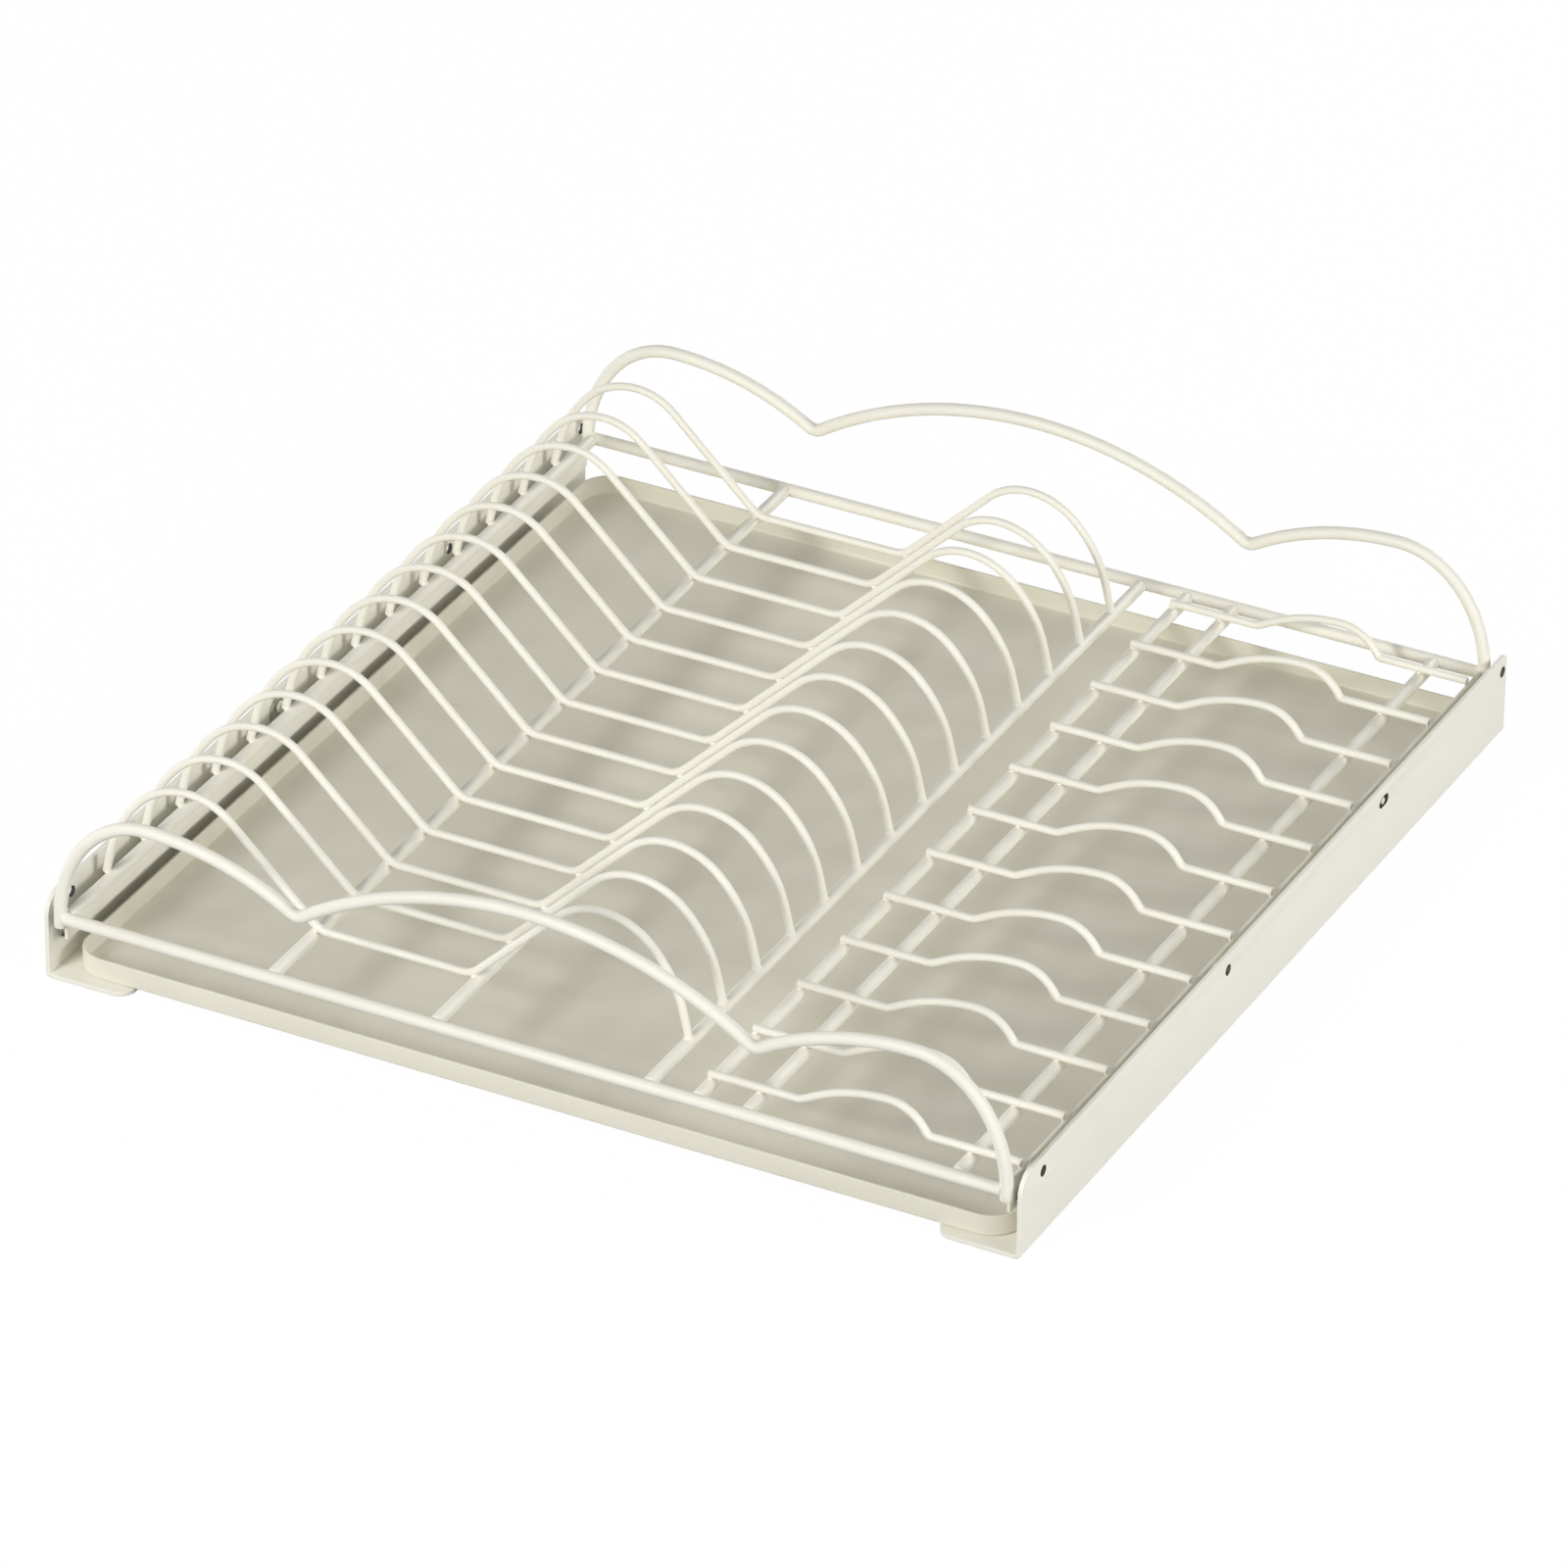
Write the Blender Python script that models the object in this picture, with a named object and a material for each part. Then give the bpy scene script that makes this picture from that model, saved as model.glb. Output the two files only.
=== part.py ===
"""Sliding dish rack for a kitchen base cabinet.

A wire basket with a scalloped guard at each end runs on two ball slides between a
pair of L-shaped side plates. A drip tray lies on the inward flanges of the plates.

Axes: +X to the right, the front faces -Y, +Z up. The origin is at the middle of the
footprint, on the surface that the plates stand on. Lengths are in metres.
"""

import math

import bmesh
import bpy
from mathutils import Vector

MM = 0.001
SIDES = ("left", "right")

# Overall sizes
RACK_WIDTH = 464.0 * MM
PLATE_LENGTH = 484.0 * MM
PLATE_HEIGHT = 40.0 * MM

# Clearances
SEAT_GAP = 0.3 * MM
CUTTER_OVERRUN = 2.0 * MM

# Wire sizes
THICK_WIRE = 5.8 * MM
THIN_WIRE = 3.6 * MM

# Side plates
PLATE_SHEET = 2.0 * MM
FLANGE_WIDTH = 40.0 * MM
PLATE_BEND_RADIUS = 2.5 * MM
FRONT_CORNER_RADIUS = 10.0 * MM
REAR_CORNER_RADIUS = 3.0 * MM
FLANGE_CORNER_RADIUS = 8.0 * MM
HOLE_DIAMETER = 5.0 * MM
HOLE_DROP = 7.4 * MM
FRONT_HOLE_SETBACK = 20.0 * MM
REAR_HOLE_SETBACK = 4.4 * MM
FRONT_INNER_HOLE_SHARE = 0.407
REAR_INNER_HOLE_SHARE = 0.732
SLOT_SHARES = {"left": FRONT_INNER_HOLE_SHARE, "right": REAR_INNER_HOLE_SHARE}
SLOT_LENGTH = 9.0 * MM

# Basket frame
RAIL_DROP = 8.5 * MM
GUARD_PROUD = 1.9 * MM
REAR_RAIL_SETBACK = 7.7 * MM
LEG_DROP = 4.5 * MM
LEG_SIDE_GAP = 2.6 * MM
STRIP_HEIGHT = 16.0 * MM
STRIP_SHEET = 1.8 * MM
STRIP_EDGE_BEVEL = 0.4 * MM

# Slides
SLIDE_SPACE = 5.0 * MM
SLIDE_SETBACK = 8.0 * MM
SLIDE_REAR_MARGIN = 26.0 * MM
SLIDE_HEIGHT = 10.4 * MM
SLIDE_SHEET = 0.8 * MM
SLIDE_LIP_GAP = 0.9 * MM
BALL_DIAMETER = 2.0 * MM
BALL_COUNT = 6
CAGE_LENGTH = 112.0 * MM
CAGE_SHEET = 0.6 * MM
CAGE_ARM_SHEET = 1.2 * MM
LUG_WIDTH = 12.0 * MM
LUG_TOP_MARGIN = 3.6 * MM
SCREW_SHANK = 3.2 * MM
SCREW_HEAD = 5.2 * MM
SCREW_HEAD_HEIGHT = 1.3 * MM
SCREW_HOLE_PLAY = 0.3 * MM
SCREW_END_INSET = 0.2 * MM

# Scalloped guards, with heights above the middle of the rail
GUARD_CENTRE_HEIGHT = 67.6 * MM
GUARD_LOBE_HEIGHT = 55.0 * MM
GUARD_VALLEY_HEIGHT = 33.5 * MM
GUARD_VALLEY_RADIUS = 6.0 * MM
GUARD_VALLEY_SHARE = 0.4825
GUARD_LOBE_SHARE = 0.806

# Plate cradle
PLATE_WIRE_COUNT = 14
PLATE_ROW_FRONT_MARGIN = 38.5 * MM
PLATE_ROW_REAR_MARGIN = 33.1 * MM
CRADLE_MIDDLE_SHARE = -0.3708
CRADLE_BAR_SPREAD_SHARE = 0.1754
SIDE_BAR_SHARE = -0.9902
PLATE_BAR_SHARE = 0.2548
CRADLE_BEND_SETBACK = 7.4 * MM
CRADLE_BEND_RADIUS = 12.0 * MM
ARCH_HEIGHT = 52.5 * MM
ARCH_CROWN_RADIUS = 28.0 * MM
ARCH_SHOULDER_RADIUS = 33.0 * MM
ARCH_LEG_RADIUS = 58.0 * MM
ARCH_SHOULDER_TURN = math.radians(45.0)
ARCH_LEG_LEAN = math.radians(13.4)

# Bowl rack
BOWL_WIRE_COUNT = 12
BOWL_ROW_FRONT_MARGIN = 14.7 * MM
BOWL_ROW_REAR_MARGIN = 17.3 * MM
BOWL_END_BAR_SHARE = 0.3579
BOWL_BAR_LEFT_SHARE = 0.461
BOWL_BAR_RIGHT_SHARE = 0.8965
BOWL_WIRE_OVERHANG = 1.0 * MM
HUMP_START_OFFSET = 18.6 * MM
HUMP_END_OFFSET = 19.8 * MM
HUMP_RISE = 12.2 * MM
HUMP_LEAD_ANGLE = math.radians(28.0)
HUMP_TAIL_ANGLE = math.radians(58.0)
HUMP_START_RADIUS = 9.0 * MM
HUMP_LEAD_BEND_SHARE = 0.609
HUMP_TAIL_BEND_SHARE = 0.387
HUMP_END_RADIUS = 3.0 * MM

# Drip tray
TRAY_SIDE_PLAY = 6.5 * MM
TRAY_FRONT_SETBACK = 6.0 * MM
TRAY_REAR_SETBACK = 2.5 * MM
TRAY_HEIGHT = 9.8 * MM
TRAY_WALL = 1.4 * MM
TRAY_FLOOR = 1.2 * MM
TRAY_CORNER_RADIUS = 15.0 * MM
TRAY_FOOT_RADIUS = 1.0 * MM
TRAY_RIM_BEVEL = 0.3 * MM

# Facets
WIRE_BEVEL_STEPS = 2
ROUND_SIDES = 12
FINE_TURN = math.radians(9.0)
WIRE_TURN = math.radians(18.0)
CORNER_TURN = math.radians(15.0)

# Places worked out from the sizes above
HALF_WIDTH = RACK_WIDTH / 2
FRONT_Y = -(PLATE_LENGTH - GUARD_PROUD) / 2
REAR_Y = FRONT_Y + PLATE_LENGTH
RAIL_Z = PLATE_HEIGHT - RAIL_DROP
THICK_RADIUS = THICK_WIRE / 2
THIN_RADIUS = THIN_WIRE / 2
BAR_TOP_Z = RAIL_Z + THICK_RADIUS
FRONT_RAIL_Y = FRONT_Y - GUARD_PROUD + THICK_RADIUS
REAR_RAIL_Y = REAR_Y - REAR_RAIL_SETBACK
PLATE_INNER_X = HALF_WIDTH - PLATE_SHEET
STRIP_OUTER_X = PLATE_INNER_X - SLIDE_SPACE
STRIP_INNER_X = STRIP_OUTER_X - STRIP_SHEET
STRIP_X = (STRIP_OUTER_X + STRIP_INNER_X) / 2
LEG_X = PLATE_INNER_X - LEG_SIDE_GAP - THICK_RADIUS
LEG_BOTTOM_Z = RAIL_Z - LEG_DROP
SLIDE_TOP_Z = LEG_BOTTOM_Z - SEAT_GAP
SLIDE_Z = SLIDE_TOP_Z - SLIDE_HEIGHT / 2
SLIDE_FRONT_Y = FRONT_Y + SLIDE_SETBACK
SLIDE_REAR_Y = REAR_Y - SLIDE_REAR_MARGIN
SLIDE_WEB_X = PLATE_INNER_X - SEAT_GAP
BALL_CHANNEL = BALL_DIAMETER + 2 * SEAT_GAP
HOLE_Z = PLATE_HEIGHT - HOLE_DROP
HOLE_YS = (
    FRONT_Y + FRONT_HOLE_SETBACK,
    FRONT_Y + FRONT_INNER_HOLE_SHARE * PLATE_LENGTH,
    FRONT_Y + REAR_INNER_HOLE_SHARE * PLATE_LENGTH,
    REAR_Y - REAR_HOLE_SETBACK,
)
CRADLE_MIDDLE_X = CRADLE_MIDDLE_SHARE * STRIP_X
CRADLE_BAR_SPREAD = CRADLE_BAR_SPREAD_SHARE * STRIP_X
CRADLE_FLAT_REACH = CRADLE_BAR_SPREAD - CRADLE_BEND_SETBACK
SIDE_BAR_X = SIDE_BAR_SHARE * STRIP_X
PLATE_BAR_X = PLATE_BAR_SHARE * STRIP_X
BOWL_END_BAR_X = BOWL_END_BAR_SHARE * STRIP_X
BOWL_BAR_LEFT_X = BOWL_BAR_LEFT_SHARE * STRIP_X
BOWL_BAR_RIGHT_X = BOWL_BAR_RIGHT_SHARE * STRIP_X


def sign_of(side):
    """Return the sign of a side's X."""
    return 1.0 if side == "right" else -1.0


def clear_scene():
    """Remove every object that the scene starts with."""
    for item in list(bpy.data.objects):
        bpy.data.objects.remove(item, do_unlink=True)


def finish_material(name, color, roughness, metallic=0.0):
    """Return a Principled material with a plain colour."""
    material = bpy.data.materials.new(name)
    material.use_nodes = True
    shader = material.node_tree.nodes["Principled BSDF"]
    shader.inputs["Base Color"].default_value = (*color, 1.0)
    shader.inputs["Roughness"].default_value = roughness
    shader.inputs["Metallic"].default_value = metallic
    return material


def add_object(name, data, material):
    """Link a mesh or a curve into the scene under a name."""
    item = bpy.data.objects.new(name, data)
    if material:
        data.materials.append(material)
    bpy.context.scene.collection.objects.link(item)
    return item


def mesh_from(name, bm):
    """Turn a bmesh into a mesh whose faces point outwards."""
    bmesh.ops.recalc_face_normals(bm, faces=bm.faces)
    mesh = bpy.data.meshes.new(name)
    bm.to_mesh(mesh)
    bm.free()
    return mesh


def add_prism(bm, outline, place, start, end):
    """Extrude a flat outline between two heights.

    place turns an outline point and a height into a point in space.
    """
    lower = [bm.verts.new(place(point, start)) for point in outline]
    upper = [bm.verts.new(place(point, end)) for point in outline]
    bm.faces.new(lower[::-1])
    bm.faces.new(upper)
    count = len(outline)
    for index in range(count):
        after = (index + 1) % count
        bm.faces.new((lower[index], lower[after], upper[after], upper[index]))


def along_x(point, height):
    """Place an outline drawn in Y and Z."""
    return (height, point[0], point[1])


def along_y(point, height):
    """Place an outline drawn in X and Z."""
    return (point[0], height, point[1])


def along_z(point, height):
    """Place an outline drawn in X and Y."""
    return (point[0], point[1], height)


def arc_points(centre, radius, start, end, turn):
    """Return points on an arc, both ends included, about one turn step apart."""
    steps = max(1, math.ceil(abs(end - start) / turn - 0.001))
    points = []
    for index in range(steps + 1):
        angle = start + (end - start) * index / steps
        points.append((centre[0] + radius * math.cos(angle), centre[1] + radius * math.sin(angle)))
    return points


def bent_route(corners, radii, turn):
    """Round each inner corner of a flat route with its own bend radius."""
    route = [corners[0]]
    for index, radius in enumerate(radii, start=1):
        before, corner, after = (Vector(corners[index + step]) for step in (-1, 0, 1))
        arriving = (corner - before).normalized()
        leaving = (after - corner).normalized()
        bend = arriving.angle_signed(leaving)
        if abs(bend) < FINE_TURN / 100:
            continue
        half_tangent = math.tan(abs(bend) / 2)
        reach = min(radius * half_tangent, (corner - before).length, (after - corner).length)
        radius = reach / half_tangent
        first = corner - arriving * reach
        inward = Vector((arriving.y, -arriving.x)) if bend > 0 else Vector((-arriving.y, arriving.x))
        centre = first + inward * radius
        start = math.atan2(first.y - centre.y, first.x - centre.x)
        route += arc_points(centre, radius, start, start - bend, turn)
    route.append(corners[-1])
    return route


def add_wire(name, points, diameter, material):
    """Add a round wire that follows a list of points in space."""
    curve = bpy.data.curves.new(name, "CURVE")
    curve.dimensions = "3D"
    curve.bevel_depth = diameter / 2
    curve.bevel_resolution = WIRE_BEVEL_STEPS
    curve.use_fill_caps = True
    spline = curve.splines.new("POLY")
    spline.points.add(len(points) - 1)
    for knot, point in zip(spline.points, points):
        knot.co = (*point, 1.0)
    spline.use_smooth = True
    return add_object(name, curve, material)


def add_cutter(name, bm):
    """Add a hidden tool for a Boolean."""
    cutter = add_object(name, mesh_from(name, bm), None)
    cutter.hide_render = True
    cutter.display_type = "WIRE"
    return cutter


def combine(item, cutter, operation):
    """Join a hidden tool to an object, or cut it away."""
    modifier = item.modifiers.new(cutter.name, "BOOLEAN")
    modifier.operation = operation
    modifier.object = cutter
    modifier.solver = "EXACT"


def corner_trim(corner, inward, radius):
    """Return the outline that rounds a square corner when it is cut away.

    inward holds the two signs that point from the corner into the sheet.
    """
    across, along = inward
    centre = (corner[0] + across * radius, corner[1] + along * radius)
    quarter = math.pi / 2
    round_edge = []
    for x_part, y_part in arc_points((0.0, 0.0), radius, 0.0, quarter, CORNER_TURN):
        round_edge.append((centre[0] - across * x_part, centre[1] - along * y_part))
    outside_x = corner[0] - across * CUTTER_OVERRUN
    outside_y = corner[1] - along * CUTTER_OVERRUN
    return [(outside_x, centre[1]), *round_edge, (centre[0], outside_y), (outside_x, outside_y)]


def slot_outline(centre, length, diameter):
    """Return the outline of a slot that runs along Y, or of a round hole."""
    radius = diameter / 2
    reach = (length - diameter) / 2
    half = math.pi / 2
    rear = arc_points((centre[0] + reach, centre[1]), radius, -half, half, WIRE_TURN * 2)
    front = arc_points((centre[0] - reach, centre[1]), radius, half, 3 * half, WIRE_TURN * 2)
    if reach <= 0:
        return rear[:-1] + front[:-1]
    return rear + front


def plate_outline(side):
    """Return the L-shaped section of a side plate in X and Z."""
    sign = sign_of(side)
    inner_radius = max(PLATE_BEND_RADIUS - PLATE_SHEET, 0.0)
    bend_x = HALF_WIDTH - PLATE_BEND_RADIUS
    quarter = math.pi / 2
    section = [(HALF_WIDTH, PLATE_HEIGHT)]
    section += arc_points((bend_x, PLATE_BEND_RADIUS), PLATE_BEND_RADIUS, 0.0, -quarter, CORNER_TURN * 2)
    section += [(HALF_WIDTH - FLANGE_WIDTH, 0.0), (HALF_WIDTH - FLANGE_WIDTH, PLATE_SHEET)]
    section += arc_points((bend_x, PLATE_BEND_RADIUS), inner_radius, -quarter, 0.0, CORNER_TURN * 3)
    section.append((PLATE_INNER_X, PLATE_HEIGHT))
    return [(sign * x, z) for x, z in section]


def slot_y(side):
    """Return the place along Y of a plate's slot, where the slide's screw sits."""
    return FRONT_Y + SLOT_SHARES[side] * PLATE_LENGTH


def plate_cutter(name, side):
    """Make the tool that rounds a plate's corners and pierces its holes."""
    bm = bmesh.new()
    sign = sign_of(side)
    outside = sign * (HALF_WIDTH + CUTTER_OVERRUN)
    inside = sign * (PLATE_INNER_X - CUTTER_OVERRUN)
    front_top = corner_trim((FRONT_Y, PLATE_HEIGHT), (1.0, -1.0), FRONT_CORNER_RADIUS)
    rear_top = corner_trim((REAR_Y, PLATE_HEIGHT), (-1.0, -1.0), REAR_CORNER_RADIUS)
    for outline in (front_top, rear_top):
        add_prism(bm, outline, along_x, inside, outside)
    flange_x = sign * (HALF_WIDTH - FLANGE_WIDTH)
    front_flange = corner_trim((flange_x, FRONT_Y), (sign, 1.0), FLANGE_CORNER_RADIUS)
    rear_flange = corner_trim((flange_x, REAR_Y), (sign, -1.0), FLANGE_CORNER_RADIUS)
    for outline in (front_flange, rear_flange):
        add_prism(bm, outline, along_z, -CUTTER_OVERRUN, PLATE_SHEET + CUTTER_OVERRUN)
    for hole_y in HOLE_YS:
        length = SLOT_LENGTH if hole_y == slot_y(side) else HOLE_DIAMETER
        add_prism(bm, slot_outline((hole_y, HOLE_Z), length, HOLE_DIAMETER), along_x, inside, outside)
    return add_cutter(name + "_cutter", bm)


def add_side_plate(side, material):
    """Add one L-shaped side plate with its rounded corners and holes."""
    name = "side_plate_" + side
    bm = bmesh.new()
    add_prism(bm, plate_outline(side), along_y, FRONT_Y, REAR_Y)
    plate = add_object(name, mesh_from(name, bm), material)
    combine(plate, plate_cutter(name, side), "DIFFERENCE")


def channel_outline(side, web_x, tip_x, height, sheet):
    """Return a C-shaped section with its web at one X and its lips reaching to another."""
    sign = sign_of(side)
    turned = 1.0 if tip_x > web_x else -1.0
    half = height / 2
    inner_x = web_x + turned * sheet
    section = [
        (web_x, SLIDE_Z - half),
        (tip_x, SLIDE_Z - half),
        (tip_x, SLIDE_Z - half + sheet),
        (inner_x, SLIDE_Z - half + sheet),
        (inner_x, SLIDE_Z + half - sheet),
        (tip_x, SLIDE_Z + half - sheet),
        (tip_x, SLIDE_Z + half),
        (web_x, SLIDE_Z + half),
    ]
    return [(sign * x, z) for x, z in section]


def add_outer_slide(side, material):
    """Add the fixed slide member, with the lug that its screw passes through."""
    name = "slide_outer_" + side
    sign = sign_of(side)
    bm = bmesh.new()
    tip_x = STRIP_OUTER_X + SLIDE_LIP_GAP
    section = channel_outline(side, SLIDE_WEB_X, tip_x, SLIDE_HEIGHT, SLIDE_SHEET)
    add_prism(bm, section, along_y, SLIDE_FRONT_Y, SLIDE_REAR_Y)
    outer = add_object(name, mesh_from(name, bm), material)
    screw_y = slot_y(side)
    web_inner_x = SLIDE_WEB_X - SLIDE_SHEET
    lug_half = LUG_WIDTH / 2
    lug_top = HOLE_Z + LUG_TOP_MARGIN
    lug_foot = SLIDE_TOP_Z - SLIDE_SHEET / 2
    lug = bmesh.new()
    corners = [
        (screw_y - lug_half, lug_foot),
        (screw_y + lug_half, lug_foot),
        (screw_y + lug_half, lug_top),
        (screw_y - lug_half, lug_top),
    ]
    add_prism(lug, corners, along_x, sign * web_inner_x, sign * SLIDE_WEB_X)
    combine(outer, add_cutter(name + "_lug", lug), "UNION")
    hole = bmesh.new()
    hole_diameter = SCREW_SHANK + 2 * SCREW_HOLE_PLAY
    outline = slot_outline((screw_y, HOLE_Z), hole_diameter, hole_diameter)
    reach = (sign * (web_inner_x - CUTTER_OVERRUN), sign * (PLATE_INNER_X + CUTTER_OVERRUN))
    add_prism(hole, outline, along_x, *reach)
    combine(outer, add_cutter(name + "_hole", hole), "DIFFERENCE")


def add_inner_slide(side, material):
    """Add the slide member that the basket's side strip is fixed to."""
    name = "slide_inner_" + side
    height = SLIDE_HEIGHT - 2 * SLIDE_SHEET - 2 * BALL_CHANNEL
    web_x = STRIP_OUTER_X + SEAT_GAP
    tip_x = SLIDE_WEB_X - SLIDE_SHEET - CAGE_SHEET - 2 * SEAT_GAP
    bm = bmesh.new()
    section = channel_outline(side, web_x, tip_x, height, SLIDE_SHEET)
    add_prism(bm, section, along_y, SLIDE_FRONT_Y, SLIDE_REAR_Y)
    add_object(name, mesh_from(name, bm), material)


def cage_section(side, arm_sheet):
    """Return the section of the ball cage, thicker where it passes a ball."""
    sign = sign_of(side)
    web_x = SLIDE_WEB_X - SLIDE_SHEET - SEAT_GAP
    inner_x = web_x - CAGE_SHEET
    tip_x = STRIP_OUTER_X + SLIDE_LIP_GAP + SEAT_GAP
    ball_z = SLIDE_HEIGHT / 2 - SLIDE_SHEET - BALL_CHANNEL / 2
    half = arm_sheet / 2
    section = [
        (web_x, SLIDE_Z - ball_z - half),
        (tip_x, SLIDE_Z - ball_z - half),
        (tip_x, SLIDE_Z - ball_z + half),
        (inner_x, SLIDE_Z - ball_z + half),
        (inner_x, SLIDE_Z + ball_z - half),
        (tip_x, SLIDE_Z + ball_z - half),
        (tip_x, SLIDE_Z + ball_z + half),
        (web_x, SLIDE_Z + ball_z + half),
    ]
    return [(sign * x, z) for x, z in section]


def add_ball_cage(side, material):
    """Add the cage that keeps the balls apart, with the balls standing out of its arms."""
    name = "ball_cage_" + side
    front_y = (SLIDE_FRONT_Y + SLIDE_REAR_Y - CAGE_LENGTH) / 2
    pitch = CAGE_LENGTH / BALL_COUNT
    stations = [(front_y, CAGE_ARM_SHEET)]
    for index in range(BALL_COUNT):
        ball_y = front_y + pitch * (index + 0.5)
        stations.append((ball_y - BALL_DIAMETER / 2, CAGE_ARM_SHEET))
        stations.append((ball_y, BALL_DIAMETER))
        stations.append((ball_y + BALL_DIAMETER / 2, CAGE_ARM_SHEET))
    stations.append((front_y + CAGE_LENGTH, CAGE_ARM_SHEET))
    bm = bmesh.new()
    rings = []
    for station_y, arm_sheet in stations:
        section = cage_section(side, arm_sheet)
        rings.append([bm.verts.new(along_y(point, station_y)) for point in section])
    count = len(rings[0])
    for ring, after in zip(rings, rings[1:]):
        for index in range(count):
            beside = (index + 1) % count
            bm.faces.new((ring[index], ring[beside], after[beside], after[index]))
    bm.faces.new(rings[0])
    bm.faces.new(rings[-1][::-1])
    add_object(name, mesh_from(name, bm), material)


def add_slide_screw(side, material):
    """Add the pan-head screw that holds the outer slide member in the plate's slot."""
    name = "slide_screw_" + side
    sign = sign_of(side)
    seat_x = SLIDE_WEB_X - SLIDE_SHEET - SEAT_GAP
    head_x = seat_x - SCREW_HEAD_HEIGHT
    end_x = HALF_WIDTH - SCREW_END_INSET
    head_radius = SCREW_HEAD / 2
    shank_radius = SCREW_SHANK / 2
    crown_radius = head_radius - SCREW_HEAD_HEIGHT / 2
    shoulder_x = head_x + SCREW_HEAD_HEIGHT / 2
    profile = [
        (head_x, crown_radius),
        (shoulder_x, head_radius),
        (seat_x, head_radius),
        (seat_x, shank_radius),
        (end_x, shank_radius),
    ]
    screw_y = slot_y(side)
    bm = bmesh.new()
    rings = []
    for place_x, radius in profile:
        ring = arc_points((screw_y, HOLE_Z), radius, 0.0, 2 * math.pi, 2 * math.pi / ROUND_SIDES)
        rings.append([bm.verts.new((sign * place_x, y, z)) for y, z in ring[:-1]])
    for ring, after in zip(rings, rings[1:]):
        for index in range(ROUND_SIDES):
            beside = (index + 1) % ROUND_SIDES
            bm.faces.new((ring[index], ring[beside], after[beside], after[index]))
    bm.faces.new(rings[0])
    bm.faces.new(rings[-1][::-1])
    add_object(name, mesh_from(name, bm), material)


def add_side_strip(side, material):
    """Add the flat strip along one side of the basket, between the guards' legs.

    The right strip reaches the top of the bars. The left one ends under the side bar.
    """
    name = "side_strip_" + side
    sign = sign_of(side)
    bottom = BAR_TOP_Z - STRIP_HEIGHT
    top = BAR_TOP_Z if side == "right" else BAR_TOP_Z - THICK_WIRE - SEAT_GAP
    ease = min(STRIP_EDGE_BEVEL, STRIP_SHEET / 3)
    outline = [
        (STRIP_INNER_X + ease, bottom),
        (STRIP_OUTER_X - ease, bottom),
        (STRIP_OUTER_X, bottom + ease),
        (STRIP_OUTER_X, top - ease),
        (STRIP_OUTER_X - ease, top),
        (STRIP_INNER_X + ease, top),
        (STRIP_INNER_X, top - ease),
        (STRIP_INNER_X, bottom + ease),
    ]
    bm = bmesh.new()
    start = FRONT_RAIL_Y + THICK_RADIUS + SEAT_GAP
    end = REAR_RAIL_Y - THICK_RADIUS - SEAT_GAP
    add_prism(bm, [(sign * x, z) for x, z in outline], along_y, start, end)
    add_object(name, mesh_from(name, bm), material)


def add_rail(name, rail_y, material):
    """Add the straight cross rail between a guard's legs."""
    reach = LEG_X - THICK_RADIUS - SEAT_GAP
    add_wire(name, [(-reach, rail_y, RAIL_Z), (reach, rail_y, RAIL_Z)], THICK_WIRE, material)


def add_bar(name, bar_x, material):
    """Add a lengthwise bar between the two rails."""
    start = FRONT_RAIL_Y + THICK_RADIUS + SEAT_GAP
    end = REAR_RAIL_Y - THICK_RADIUS - SEAT_GAP
    add_wire(name, [(bar_x, start, RAIL_Z), (bar_x, end, RAIL_Z)], THICK_WIRE, material)


def circle_through(half_chord, rise):
    """Return the radius of an arc with this half chord and rise."""
    return (half_chord ** 2 + rise ** 2) / (2 * rise)


def guard_half():
    """Return the right half of a guard, from its middle to the foot of its leg.

    A wide arc meets a smaller lobe in a rounded valley. The lobe's outer shoulder is a
    quarter of an ellipse that runs down into the leg. Heights are above the rail.
    """
    valley_x = GUARD_VALLEY_SHARE * LEG_X
    lobe_x = GUARD_LOBE_SHARE * LEG_X
    wide_radius = circle_through(valley_x, GUARD_CENTRE_HEIGHT - GUARD_VALLEY_HEIGHT)
    lobe_radius = circle_through(lobe_x - valley_x, GUARD_LOBE_HEIGHT - GUARD_VALLEY_HEIGHT)
    wide_centre = Vector((0.0, GUARD_CENTRE_HEIGHT - wide_radius))
    lobe_centre = Vector((lobe_x, GUARD_LOBE_HEIGHT - lobe_radius))
    reach_wide = wide_radius + GUARD_VALLEY_RADIUS
    reach_lobe = lobe_radius + GUARD_VALLEY_RADIUS
    line = lobe_centre - wide_centre
    along = (line.length_squared + reach_wide ** 2 - reach_lobe ** 2) / (2 * line.length)
    off = math.sqrt(reach_wide ** 2 - along ** 2)
    direction = line.normalized()
    valley = wide_centre + direction * along + Vector((-direction.y, direction.x)) * off
    to_wide = math.atan2(valley.y - wide_centre.y, valley.x - wide_centre.x)
    to_lobe = math.atan2(valley.y - lobe_centre.y, valley.x - lobe_centre.x)
    quarter = math.pi / 2
    points = arc_points(wide_centre, wide_radius, quarter, to_wide, FINE_TURN / 2)
    points += arc_points(valley, GUARD_VALLEY_RADIUS, to_wide - math.pi, to_lobe - math.pi, WIRE_TURN)[1:]
    points += arc_points(lobe_centre, lobe_radius, to_lobe, quarter, FINE_TURN / 2)[1:]
    shoulder = LEG_X - lobe_x
    for share_x, share_z in arc_points((0.0, 0.0), 1.0, quarter, 0.0, FINE_TURN)[1:]:
        points.append((lobe_x + shoulder * share_x, GUARD_LOBE_HEIGHT * share_z))
    points.append((LEG_X, -LEG_DROP))
    return points


def add_guard(name, guard_y, material):
    """Add the scalloped wire that stands at one end of the basket."""
    half = guard_half()
    flat = [(-x, z) for x, z in half[:0:-1]] + half
    add_wire(name, [(x, guard_y, RAIL_Z + z) for x, z in flat], THICK_WIRE, material)


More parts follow.
